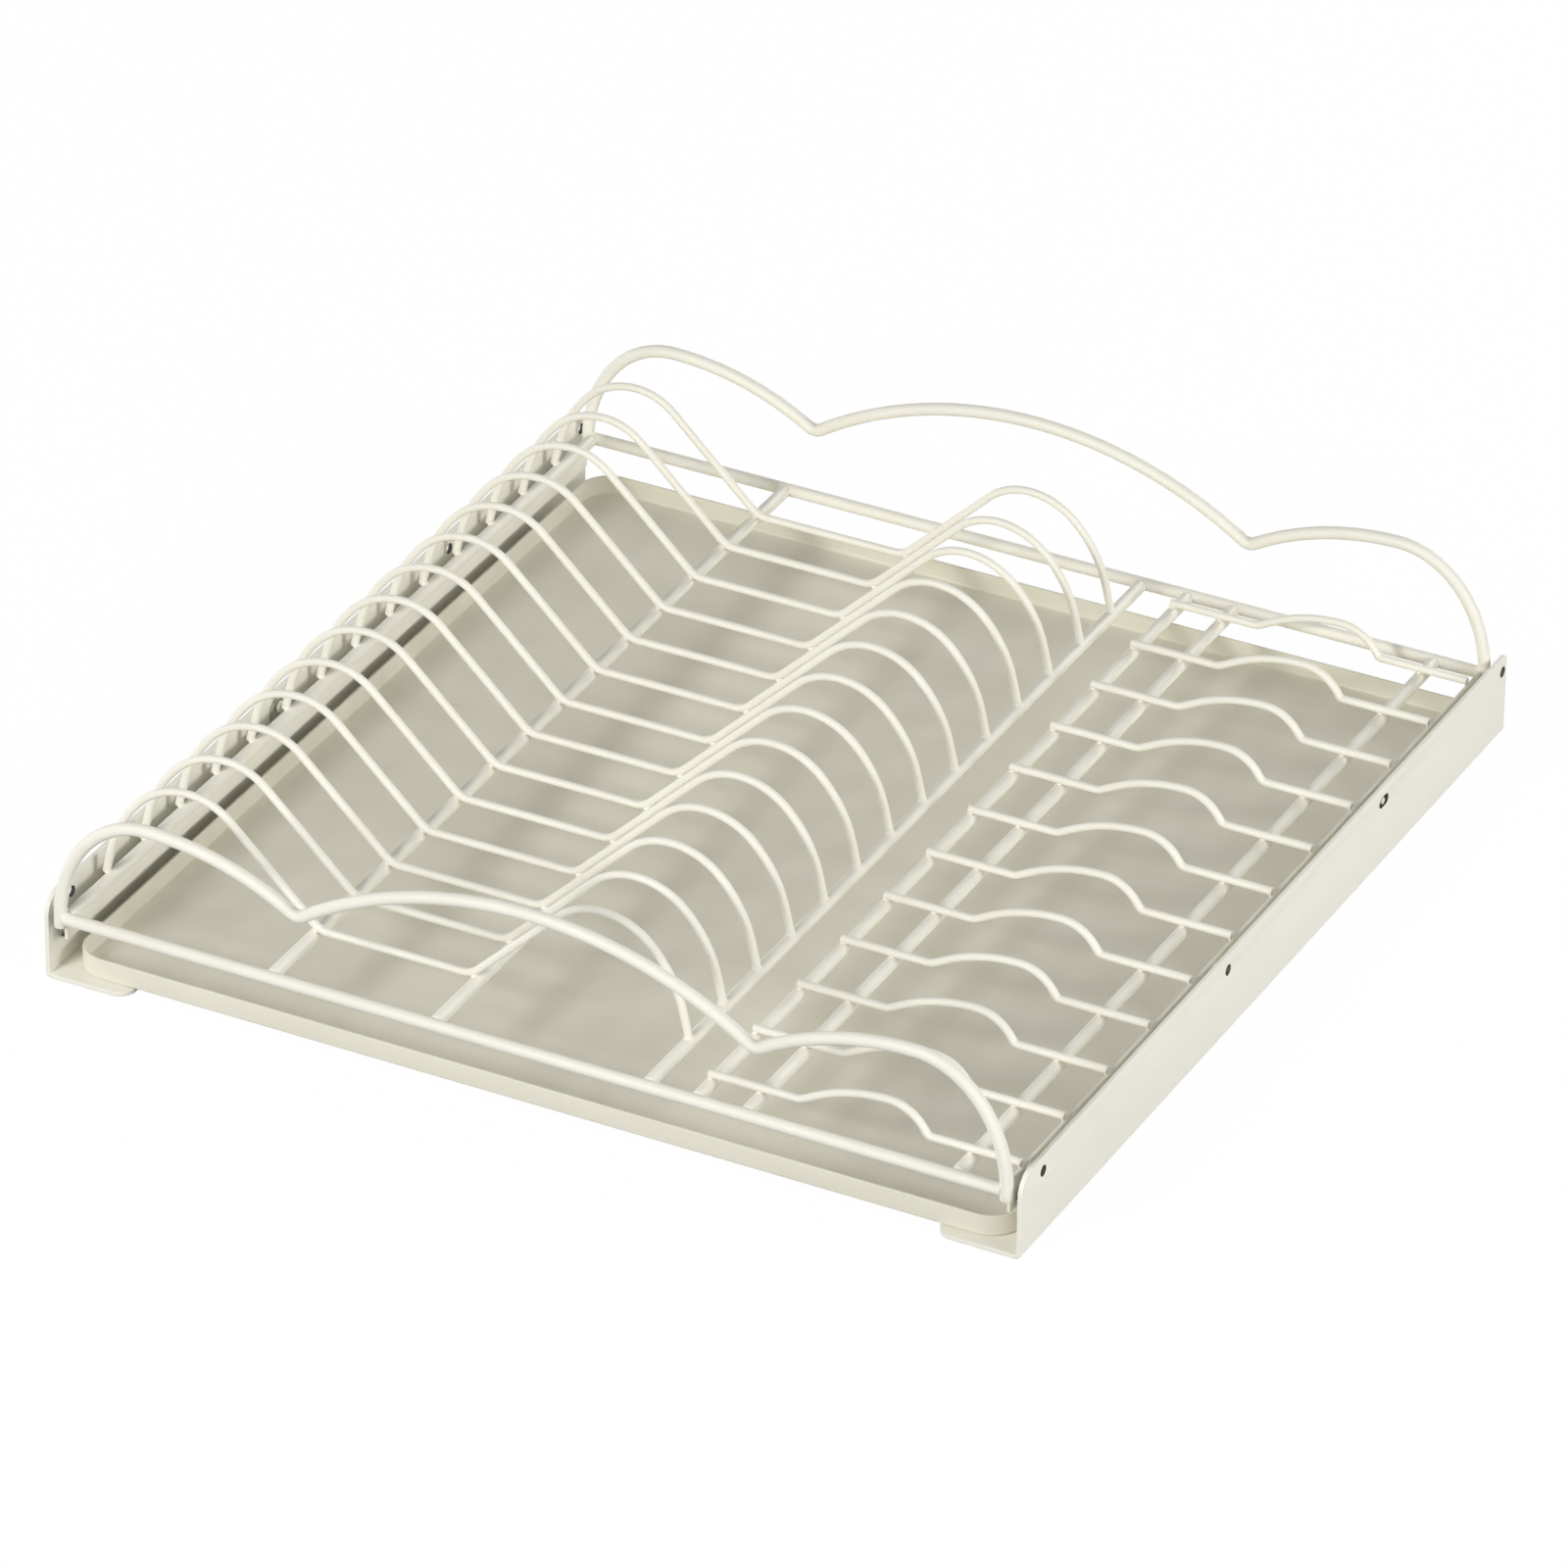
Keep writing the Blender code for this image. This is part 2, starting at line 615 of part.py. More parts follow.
def cradle_foot_z():
    """Return the height of a plate wire's flat, with its bends resting on the two bars."""
    contact = CRADLE_BEND_RADIUS + THIN_RADIUS + THICK_RADIUS + SEAT_GAP
    aside = max(CRADLE_BAR_SPREAD - CRADLE_FLAT_REACH, 0.0)
    return RAIL_Z - CRADLE_BEND_RADIUS + math.sqrt(contact ** 2 - aside ** 2)


def cradle_half(reach, end_gap):
    """Return half of a plate wire, from the middle of its flat to the end of its leg.

    The flat bends up into a straight slant, which runs tangent into the crown of the
    arch. Two wider arcs lead from there into the leg, which leans out to its end, a gap
    above the top of the bars. Points are (distance from the middle of the flat, height).
    """
    quarter = math.pi / 2
    end_z = BAR_TOP_Z + end_gap
    crown_z = RAIL_Z + ARCH_HEIGHT
    leg_turn = quarter - ARCH_LEG_LEAN
    wider = ARCH_LEG_RADIUS - ARCH_SHOULDER_RADIUS
    across = ARCH_LEG_RADIUS * math.sin(leg_turn) - wider * math.sin(ARCH_SHOULDER_TURN)
    drop = ARCH_SHOULDER_RADIUS - ARCH_LEG_RADIUS * math.cos(leg_turn) + wider * math.cos(ARCH_SHOULDER_TURN)
    crown_at = reach - across - (crown_z - drop - end_z) * math.tan(ARCH_LEG_LEAN)
    bend = (CRADLE_FLAT_REACH, cradle_foot_z() + CRADLE_BEND_RADIUS)
    crown = (crown_at, crown_z - ARCH_CROWN_RADIUS)
    shoulder = (crown_at, crown_z - ARCH_SHOULDER_RADIUS)
    leg = (
        crown_at - wider * math.sin(ARCH_SHOULDER_TURN),
        shoulder[1] - wider * math.cos(ARCH_SHOULDER_TURN),
    )
    apart = math.hypot(crown[0] - bend[0], crown[1] - bend[1])
    rise = math.atan2(crown[1] - bend[1], crown[0] - bend[0])
    slant = rise + math.asin((CRADLE_BEND_RADIUS + ARCH_CROWN_RADIUS) / apart)
    points = [(0.0, cradle_foot_z())]
    points += arc_points(bend, CRADLE_BEND_RADIUS, -quarter, slant - quarter, WIRE_TURN)
    points += arc_points(crown, ARCH_CROWN_RADIUS, quarter + slant, quarter, WIRE_TURN)
    points += arc_points(shoulder, ARCH_SHOULDER_RADIUS, quarter, quarter - ARCH_SHOULDER_TURN, WIRE_TURN)[1:]
    points += arc_points(leg, ARCH_LEG_RADIUS, quarter - ARCH_SHOULDER_TURN, ARCH_LEG_LEAN, WIRE_TURN)[1:]
    points.append((reach, end_z))
    return points


def plate_wire_route():
    """Return the route of a plate wire in X and Z: arch, slant, flat, slant, arch.

    The left leg lands on the outer shoulder of the side bar, so it stands a little higher.
    """
    left = cradle_half(CRADLE_MIDDLE_X + STRIP_X, 2 * SEAT_GAP)
    right = cradle_half(PLATE_BAR_X - CRADLE_MIDDLE_X, SEAT_GAP)
    route = [(CRADLE_MIDDLE_X - distance, z) for distance, z in left[:0:-1]]
    return route + [(CRADLE_MIDDLE_X + distance, z) for distance, z in right[1:]]


def bowl_wire_route():
    """Return the route of a bowl wire in X and Z: flat, one hump, flat."""
    base_z = BAR_TOP_Z + THIN_RADIUS + SEAT_GAP
    crest_z = base_z + HUMP_RISE
    start_x = BOWL_BAR_LEFT_X + HUMP_START_OFFSET
    end_x = BOWL_BAR_RIGHT_X - HUMP_END_OFFSET
    crest_start_x = start_x + HUMP_RISE / math.tan(HUMP_LEAD_ANGLE)
    crest_end_x = end_x - HUMP_RISE / math.tan(HUMP_TAIL_ANGLE)
    corners = [
        (BOWL_END_BAR_X - BOWL_WIRE_OVERHANG, base_z),
        (start_x, base_z),
        (crest_start_x, crest_z),
        (crest_end_x, crest_z),
        (end_x, base_z),
        (STRIP_X, base_z),
    ]
    crest = crest_end_x - crest_start_x
    lead_radius = crest * HUMP_LEAD_BEND_SHARE / math.tan(HUMP_LEAD_ANGLE / 2)
    tail_radius = crest * HUMP_TAIL_BEND_SHARE / math.tan(HUMP_TAIL_ANGLE / 2)
    radii = (HUMP_START_RADIUS, lead_radius, tail_radius, HUMP_END_RADIUS)
    return bent_route(corners, radii, WIRE_TURN)


def add_wire_row(prefix, route, count, margins, material):
    """Add a row of equal thin wires, spread between the margins from the two rails."""
    first_y = FRONT_RAIL_Y + margins[0]
    pitch = (REAR_RAIL_Y - margins[1] - first_y) / (count - 1)
    for index in range(count):
        wire_y = first_y + index * pitch
        name = f"{prefix}_{index + 1:02d}"
        add_wire(name, [(x, wire_y, z) for x, z in route], THIN_WIRE, material)


def rounded_rectangle(inset, radius):
    """Return the drip tray's outline in X and Y, moved inwards by an inset."""
    half_x = PLATE_INNER_X - TRAY_SIDE_PLAY - inset
    front = FRONT_Y + TRAY_FRONT_SETBACK + inset
    rear = REAR_Y - TRAY_REAR_SETBACK - inset
    quarter = math.pi / 2
    centres = (
        (half_x - radius, rear - radius),
        (-half_x + radius, rear - radius),
        (-half_x + radius, front + radius),
        (half_x - radius, front + radius),
    )
    outline = []
    for index, centre in enumerate(centres):
        outline += arc_points(centre, radius, index * quarter, (index + 1) * quarter, CORNER_TURN)
    return outline


def add_drip_tray(material):
    """Add the shallow tray that lies on both flanges."""
    base = PLATE_SHEET + SEAT_GAP
    top = base + TRAY_HEIGHT
    levels = [
        (TRAY_FOOT_RADIUS, base),
        (TRAY_FOOT_RADIUS / 4, base + TRAY_FOOT_RADIUS / 4),
        (0.0, base + TRAY_FOOT_RADIUS),
        (0.0, top - TRAY_RIM_BEVEL),
        (TRAY_RIM_BEVEL, top),
        (TRAY_WALL - TRAY_RIM_BEVEL, top),
        (TRAY_WALL, top - TRAY_RIM_BEVEL),
        (TRAY_WALL, base + TRAY_FLOOR + TRAY_FOOT_RADIUS),
        (TRAY_WALL + TRAY_FOOT_RADIUS, base + TRAY_FLOOR),
    ]
    bm = bmesh.new()
    rings = []
    for inset, height in levels:
        outline = rounded_rectangle(inset, TRAY_CORNER_RADIUS - inset)
        rings.append([bm.verts.new((x, y, height)) for x, y in outline])
    count = len(rings[0])
    for ring, after in zip(rings, rings[1:]):
        for index in range(count):
            beside = (index + 1) % count
            bm.faces.new((ring[index], ring[beside], after[beside], after[index]))
    bm.faces.new(rings[0][::-1])
    bm.faces.new(rings[-1])
    add_object("drip_tray", mesh_from("drip_tray", bm), material)


def shade_round_pieces():
    """Shade every mesh smooth, with its hard edges kept sharp."""
    for item in bpy.data.objects:
        if item.type == "MESH" and not item.hide_render:
            item.data.shade_smooth()
            item.data.set_sharp_from_angle(angle=FINE_TURN * 4)


def build_rack():
    """Build the whole rack."""
    clear_scene()
    coat = finish_material("cream_coat", (0.80, 0.78, 0.69), 0.35)
    zinc = finish_material("zinc_steel", (0.62, 0.62, 0.60), 0.35, 1.0)
    plastic = finish_material("tray_plastic", (0.66, 0.64, 0.53), 0.45)
    for side in SIDES:
        add_side_plate(side, coat)
        add_outer_slide(side, zinc)
        add_ball_cage(side, zinc)
        add_inner_slide(side, zinc)
        add_slide_screw(side, coat)
        add_side_strip(side, coat)
    for end, rail_y in (("front", FRONT_RAIL_Y), ("rear", REAR_RAIL_Y)):
        add_rail(end + "_rail", rail_y, coat)
        add_guard(end + "_guard", rail_y, coat)
    add_bar("side_bar", SIDE_BAR_X, coat)
    add_bar("cradle_bar_left", CRADLE_MIDDLE_X - CRADLE_BAR_SPREAD, coat)
    add_bar("cradle_bar_right", CRADLE_MIDDLE_X + CRADLE_BAR_SPREAD, coat)
    add_bar("plate_end_bar", PLATE_BAR_X, coat)
    add_bar("bowl_end_bar", BOWL_END_BAR_X, coat)
    add_bar("bowl_bar_left", BOWL_BAR_LEFT_X, coat)
    add_bar("bowl_bar_right", BOWL_BAR_RIGHT_X, coat)
    plate_margins = (PLATE_ROW_FRONT_MARGIN, PLATE_ROW_REAR_MARGIN)
    bowl_margins = (BOWL_ROW_FRONT_MARGIN, BOWL_ROW_REAR_MARGIN)
    add_wire_row("plate_wire", plate_wire_route(), PLATE_WIRE_COUNT, plate_margins, coat)
    add_wire_row("bowl_wire", bowl_wire_route(), BOWL_WIRE_COUNT, bowl_margins, coat)
    add_drip_tray(plastic)
    shade_round_pieces()


build_rack()
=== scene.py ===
"""Sliding dish rack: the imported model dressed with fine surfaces, finishes and lights.

Lengths are in metres. +X is to the right, the front faces -Y and +Z is up.
"""

import logging
import math
from collections.abc import Callable, Sequence
from dataclasses import dataclass
from enum import Enum

import bpy
from mathutils import Matrix, Vector

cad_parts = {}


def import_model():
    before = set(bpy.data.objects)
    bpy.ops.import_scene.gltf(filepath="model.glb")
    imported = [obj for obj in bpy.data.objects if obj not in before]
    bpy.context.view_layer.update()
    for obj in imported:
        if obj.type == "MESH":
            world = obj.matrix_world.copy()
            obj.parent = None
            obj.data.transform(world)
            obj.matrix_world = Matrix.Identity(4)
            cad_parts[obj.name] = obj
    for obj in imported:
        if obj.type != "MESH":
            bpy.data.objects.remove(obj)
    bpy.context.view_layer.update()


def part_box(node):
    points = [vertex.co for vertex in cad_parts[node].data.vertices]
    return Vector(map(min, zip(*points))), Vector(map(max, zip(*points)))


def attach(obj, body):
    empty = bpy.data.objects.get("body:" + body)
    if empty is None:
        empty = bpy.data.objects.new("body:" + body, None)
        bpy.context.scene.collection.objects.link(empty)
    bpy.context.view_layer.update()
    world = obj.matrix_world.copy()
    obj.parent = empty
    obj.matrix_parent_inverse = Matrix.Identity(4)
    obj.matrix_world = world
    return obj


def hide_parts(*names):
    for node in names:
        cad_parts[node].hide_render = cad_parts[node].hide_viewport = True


LOG = logging.getLogger("dish_rack")
MM = 0.001
TINY = 0.001 * MM
QUARTER = math.pi / 2
BEND_STEP = math.radians(5.0)
NOISE_MIDDLE = (0.3, 0.7)
WHITE = (1.0, 1.0, 1.0, 1.0)
FINE = "_fine"

Piece = bpy.types.Object
Tree = bpy.types.NodeTree
Socket = bpy.types.NodeSocket
Mesh = bpy.types.Mesh
Place = Sequence[float]
Triple = tuple[float, float, float]


class Side(Enum):
    """The two sides of the rack, with the sign of their X."""

    LEFT = -1.0
    RIGHT = 1.0

    @property
    def word(self) -> str:
        """Return the side's name as the nodes spell it."""
        return self.name.lower()

    def outermost(self, low: Vector, high: Vector) -> float:
        """Return the X of a box's face that looks away from the rack's middle."""
        return high.x if self is Side.RIGHT else low.x

    def innermost(self, low: Vector, high: Vector) -> float:
        """Return the X of a box's face that looks at the rack's middle."""
        return low.x if self is Side.RIGHT else high.x


class Turn(Enum):
    """Which way a wire bends, seen from the front."""

    UPWARD = 1.0
    DOWNWARD = -1.0


def fill(tree: Tree, node: bpy.types.Node, inputs: dict) -> None:
    """Set or link a node's sockets.

    Args:
        tree: The node's tree.
        node: The node.
        inputs: Sockets by name or number, each with a value or the socket that feeds it.
    """
    for key, value in inputs.items():
        if isinstance(value, Socket):
            tree.links.new(value, node.inputs[key])
        else:
            node.inputs[key].default_value = value


def add_node(tree: Tree, kind: str, inputs: dict, **settings) -> bpy.types.Node:
    """Add a node, with its settings made before its sockets are filled.

    Args:
        tree: The node tree of a material or of the world.
        kind: The node's type, without the word ShaderNode.
        inputs: What its sockets get, as for fill.
        **settings: The node's own settings.

    Returns:
        The new node.
    """
    node = tree.nodes.new("ShaderNode" + kind)
    for name, value in settings.items():
        setattr(node, name, value)
    fill(tree, node, inputs)
    return node


def linear(red: float, green: float, blue: float) -> Triple:
    """Turn a screen colour of 0 to 255 into linear light.

    Args:
        red: Red level.
        green: Green level.
        blue: Blue level.

    Returns:
        The linear colour.
    """
    levels = (red / 255, green / 255, blue / 255)
    return tuple(c / 12.92 if c <= 0.04045 else ((c + 0.055) / 1.055) ** 2.4 for c in levels)


@dataclass(frozen=True)
class Grain:
    """A noise on the piece's own coordinates: waves per metre, octaves, and scale along each axis."""

    scale: float
    detail: float
    stretch: Triple = (1.0, 1.0, 1.0)


@dataclass(frozen=True)
class Relief:
    """A bump: the noise that makes it, its depth and its strength."""

    grain: Grain
    depth: float
    strength: float = 1.0


@dataclass(frozen=True)
class Finish:
    """What all finishes share: two tones, an uneven gloss, and a relief."""

    name: str
    light: Triple
    dark: Triple
    tone: Grain = Grain(38.0, 3.0)
    gloss: Grain = Grain(160.0, 2.0)
    roughness: tuple[float, float] = (0.43, 0.54)
    specular: float = 0.5
    metallic: float = 0.0
    reliefs: tuple[Relief, ...] = ()

    def material(self) -> bpy.types.Material:
        """Build the finish's material."""
        material = bpy.data.materials.new(self.name)
        material.use_nodes = True
        tree = material.node_tree
        shader = tree.nodes["Principled BSDF"]
        place = add_node(tree, "TexCoord", {}).outputs["Object"]
        share = self.spread(tree, self.noise(tree, place, self.tone), 0.0, 1.0)
        tones = {"Factor": share, "A": (*self.dark, 1.0), "B": (*self.light, 1.0)}
        fill(tree, shader, {
            "Base Color": add_node(tree, "Mix", tones, data_type="RGBA").outputs["Result"],
            "Roughness": self.spread(tree, self.noise(tree, place, self.gloss), *self.roughness),
            "Specular IOR Level": self.specular,
            "Metallic": self.metallic,
        })
        normal = {}
        for relief in self.reliefs:
            height = self.noise(tree, place, relief.grain)
            inputs = {"Height": height, "Distance": relief.depth, "Strength": relief.strength}
            normal = {"Normal": add_node(tree, "Bump", inputs | normal).outputs["Normal"]}
        fill(tree, shader, normal)
        return material

    @staticmethod
    def noise(tree: Tree, place: Socket, grain: Grain) -> Socket:
        """Add a noise.

        Args:
            tree: The material's tree.
            place: The coordinates it reads.
            grain: Its scale, detail and stretch.

        Returns:
            The noise's value.
        """
        mapping = add_node(tree, "Mapping", {"Vector": place, "Scale": grain.stretch})
        inputs = {"Vector": mapping.outputs["Vector"], "Scale": grain.scale, "Detail": grain.detail}
        return add_node(tree, "TexNoise", inputs).outputs["Fac"]

    @staticmethod
    def spread(tree: Tree, value: Socket, low: float, high: float) -> Socket:
        """Stretch a noise's middle part over a range.

        Args:
            tree: The material's tree.
            value: The noise's value.
            low: Result at the noise's low end.
            high: Result at the noise's high end.

        Returns:
            The stretched value.
        """
        start, end = NOISE_MIDDLE
        inputs = {"Value": value, "From Min": start, "From Max": end, "To Min": low, "To Max": high}
        return add_node(tree, "MapRange", inputs).outputs["Result"]


@dataclass(frozen=True)
class WireCoat(Finish):
    """Baked cream powder coat on wire: a faint orange peel, soft gloss and slightly uneven tone."""

    specular: float = 0.28
    reliefs: tuple[Relief, ...] = (
        Relief(Grain(700.0, 1.5), 0.005 * MM),
        Relief(Grain(3500.0, 1.0), 0.00125 * MM),
    )


@dataclass(frozen=True)
class SheetCoat(WireCoat):
    """The same powder coat on flat sheet, where it flows out smoother."""

    roughness: tuple[float, float] = (0.41, 0.52)
    reliefs: tuple[Relief, ...] = (
        Relief(Grain(900.0, 1.5), 0.005 * MM),
        Relief(Grain(4500.0, 1.0), 0.00125 * MM),
    )


@dataclass(frozen=True)
class MouldedPlastic(Finish):
    """Injection-moulded plastic with a fine spark texture and slow flow marks."""

    tone: Grain = Grain(34.0, 3.0, (0.35, 1.0, 1.0))
    gloss: Grain = Grain(55.0, 3.0)
    roughness: tuple[float, float] = (0.44, 0.58)
    specular: float = 0.2
    reliefs: tuple[Relief, ...] = (
        Relief(Grain(2200.0, 2.0), 0.003 * MM),
        Relief(Grain(60.0, 1.5, (0.3, 1.0, 1.0)), 0.16 * MM),
    )


@dataclass(frozen=True)
class ZincPlate(Finish):
    """Bright zinc on rolled steel, with fine lines along the slide."""

    tone: Grain = Grain(700.0, 3.0, (1.0, 0.02, 1.0))
    gloss: Grain = Grain(90.0, 3.0)
    roughness: tuple[float, float] = (0.26, 0.42)
    metallic: float = 1.0
    reliefs: tuple[Relief, ...] = (Relief(Grain(700.0, 2.0, (1.0, 0.03, 1.0)), 0.03 * MM, 0.15),)


@dataclass(frozen=True)
class ShadedHoleWall(Finish):
    """Dark bare steel inside a punched hole, with the punch's fine scores; the dark tone is painted shade
    that stands in for the shade inside the hole.
    """

    tone: Grain = Grain(1500.0, 2.0, (0.1, 1.0, 1.0))
    gloss: Grain = Grain(900.0, 2.0)
    roughness: tuple[float, float] = (0.55, 0.7)
    reliefs: tuple[Relief, ...] = (Relief(Grain(1500.0, 2.0, (0.1, 1.0, 1.0)), 0.01 * MM),)


@dataclass(frozen=True)
class Finishes:
    """The rack's finishes, each built once."""

    coat: bpy.types.Material
    sheet_coat: bpy.types.Material
    punched: bpy.types.Material
    zinc: bpy.types.Material
    plastic: bpy.types.Material

    @classmethod
    def mixed(cls) -> "Finishes":
        """Mix every finish of the rack."""
        return cls(
            coat=WireCoat("cream_wire_coat", linear(238, 236, 224), linear(235, 232, 219)).material(),
            sheet_coat=SheetCoat("cream_sheet_coat", linear(237, 235, 223), linear(235, 233, 220)).material(),
            # The hole walls' dark tones are painted shade for the shade inside the holes.
            punched=ShadedHoleWall("punched_hole_edge", linear(84, 82, 76), linear(58, 56, 51)).material(),
            zinc=ZincPlate("slide_zinc", linear(206, 205, 198), linear(184, 183, 176)).material(),
            plastic=MouldedPlastic(
                "tray_plastic_grain", linear(231, 228, 213), linear(224, 221, 204)
            ).material(),
        )


def ends(mesh: Mesh, edge: bpy.types.MeshEdge) -> list[Vector]:
    """Return the places of an edge's two ends."""
    return [mesh.vertices[index].co for index in edge.vertices]


def span(mesh: Mesh, edge: bpy.types.MeshEdge) -> Vector:
    """Return how far an edge reaches along each axis."""
    first, second = ends(mesh, edge)
    return Vector([abs(part) for part in first - second])


class Bench:
    """The few handlings that every piece needs, done with Blender's own operators."""

    DOUBLES = 0.002 * MM

    @staticmethod
    def clear_selection() -> None:
        """Deselect all objects, so that an operator acts on the new piece alone."""
        bpy.ops.object.select_all(action="DESELECT")

    @staticmethod
    def pick(piece: Piece) -> None:
        """Make one object the only selected and active one."""
        Bench.clear_selection()
        piece.select_set(True)
        bpy.context.view_layer.objects.active = piece

    @staticmethod
    def choose(piece: Piece, kind: str, test: Callable) -> None:
        """Select elements in code and enter edit mode with them.

        Args:
            piece: The object to edit.
            kind: VERT, EDGE or FACE.
            test: Gets the mesh and an element, and returns whether it is selected.
        """
        Bench.pick(piece)
        bpy.ops.object.mode_set(mode="EDIT")
        bpy.ops.mesh.select_mode(type=kind)
        bpy.ops.mesh.select_all(action="DESELECT")
        Bench.leave()
        mesh = piece.data
        group = {"VERT": mesh.vertices, "EDGE": mesh.edges, "FACE": mesh.polygons}[kind]
        for element in group:
            element.select = bool(test(mesh, element))
        bpy.ops.object.mode_set(mode="EDIT")

    @staticmethod
    def leave() -> None:
        """Go back to object mode."""
        bpy.ops.object.mode_set(mode="OBJECT")

    @staticmethod
    def bevel(piece: Piece, kind: str, test: Callable, width: float, **settings) -> None:
        """Bevel some of a piece's elements.

        Args:
            piece: The object to change.
            kind: VERT, EDGE or FACE.
            test: As for choose.
            width: How far the bevel reaches.
            **settings: The operator's other settings.
        """
        Bench.choose(piece, kind, test)
        bpy.ops.mesh.bevel(offset=width, **settings)
        Bench.leave()

    @staticmethod
    def settle(piece: Piece) -> None:
        """Apply the object's own place, turn and scale to its mesh."""
        Bench.pick(piece)
        bpy.ops.object.transform_apply(location=True, rotation=True, scale=True)

    @staticmethod
    def start(operator: Callable, name: str = "", **settings) -> Piece:
        """Add a primitive, with its size and place in its mesh.

        Args:
            operator: The operator that adds it.
            name: Name of a piece that is kept.
            **settings: The operator's settings.

        Returns:
            The new object.
        """
        Bench.clear_selection()
        operator(**settings)
        piece = bpy.context.active_object
        piece.name = name or piece.name
        Bench.settle(piece)
        return piece

    @staticmethod
    def block(middle: Place, size: Place, name: str = "") -> Piece:
        """Add a block by its middle and size."""
        return Bench.start(bpy.ops.mesh.primitive_cube_add, name, size=1.0, location=middle, scale=size)

    @staticmethod
    def rod(middle: Place, radius: float, length: float, sides: int, name: str = "") -> Piece:
        """Add a round rod that lies along X, by its middle, radius, length and number of sides."""
        return Bench.start(
            bpy.ops.mesh.primitive_cylinder_add, name, vertices=sides, radius=radius, depth=length,
            location=middle, rotation=(0.0, QUARTER, 0.0),
        )

    @staticmethod
    def sheet(name: str, at_x: float, low: Vector, high: Vector) -> Piece:
        """Add a flat sheet that stands across X.

        Args:
            name: The piece's name.
            at_x: Where it stands.
            low: Low corner in Y and Z.
            high: High corner in Y and Z.

        Returns:
            The sheet, with no thickness yet.
        """
        Bench.clear_selection()
        middle = (at_x, (low.y + high.y) / 2, (low.z + high.z) / 2)
        bpy.ops.mesh.primitive_plane_add(size=1.0, location=middle, rotation=(0.0, QUARTER, 0.0))
        sheet = bpy.context.active_object
        sheet.name = name
        sheet.scale = (high.z - low.z, high.y - low.y, 1.0)
        Bench.settle(sheet)
        return sheet

    @staticmethod
    def thicken(piece: Piece, thickness: float, outward: float) -> None:
        """Give a folded sheet its thickness, inwards from its outer face.

        Args:
            piece: The folded sheet.
            thickness: Thickness of the sheet.
            outward: Number with the sign of X on the sheet's outer side.
        """
        Bench.mend(piece)
        web = max(piece.data.polygons, key=lambda face: abs(face.normal.x) * face.area)
        offset = -1.0 if web.normal.x * outward > 0 else 1.0
        Bench.apply(piece, "SOLIDIFY", thickness=thickness, offset=offset, use_even_offset=True)
        Bench.mend(piece)

    @staticmethod
    def apply(piece: Piece, kind: str, **settings) -> None:
        """Add a modifier and apply it.

        Args:
            piece: The object to change.
            kind: The modifier's type.
            **settings: The modifier's settings.
        """
        modifier = piece.modifiers.new(kind.lower(), kind)
        for key, value in settings.items():
            setattr(modifier, key, value)
        Bench.pick(piece)
        bpy.ops.object.modifier_apply(modifier=modifier.name)

    @staticmethod
    def unite(piece: Piece, others: Sequence[Piece], operation: str = "UNION") -> None:
        """Join other bodies to a piece or cut them away, and remove them."""
        Bench.clear_selection()
        for other in others:
            other.select_set(True)
        bpy.context.view_layer.objects.active = others[0]
        if len(others) > 1:
            bpy.ops.object.join()
        Bench.apply(piece, "BOOLEAN", operation=operation, object=others[0], solver="EXACT")
        bpy.data.objects.remove(others[0], do_unlink=True)

    @staticmethod
    def mend(piece: Piece) -> None:
        """Merge doubles and turn the faces outwards."""
        Bench.pick(piece)
        bpy.ops.object.mode_set(mode="EDIT")
        bpy.ops.mesh.select_mode(type="VERT")
        bpy.ops.mesh.select_all(action="SELECT")
        bpy.ops.mesh.remove_doubles(threshold=Bench.DOUBLES)
        bpy.ops.mesh.normals_make_consistent(inside=False)
        Bench.leave()

    @staticmethod
    def smooth(piece: Piece, degrees: float = 40.0) -> None:
        """Shade smooth, with edges sharper than an angle kept."""
        Bench.pick(piece)
        bpy.ops.object.shade_smooth_by_angle(angle=math.radians(degrees))

    @staticmethod
    def copy(piece: Piece, name: str, shift: Place) -> Piece:
        """Copy a finished piece with a mesh of its own.

        Args:
            piece: The finished piece.
            name: The copy's name.
            shift: How far the copy lies from the original.

        Returns:
            The copy, with its place in its mesh.
        """
        Bench.pick(piece)
        bpy.ops.object.duplicate(linked=False)
        twin = bpy.context.active_object
        twin.name = name
        twin.data.name = name
        bpy.ops.transform.translate(value=tuple(shift))
        bpy.ops.object.transform_apply(location=True, rotation=False, scale=False)
        return twin


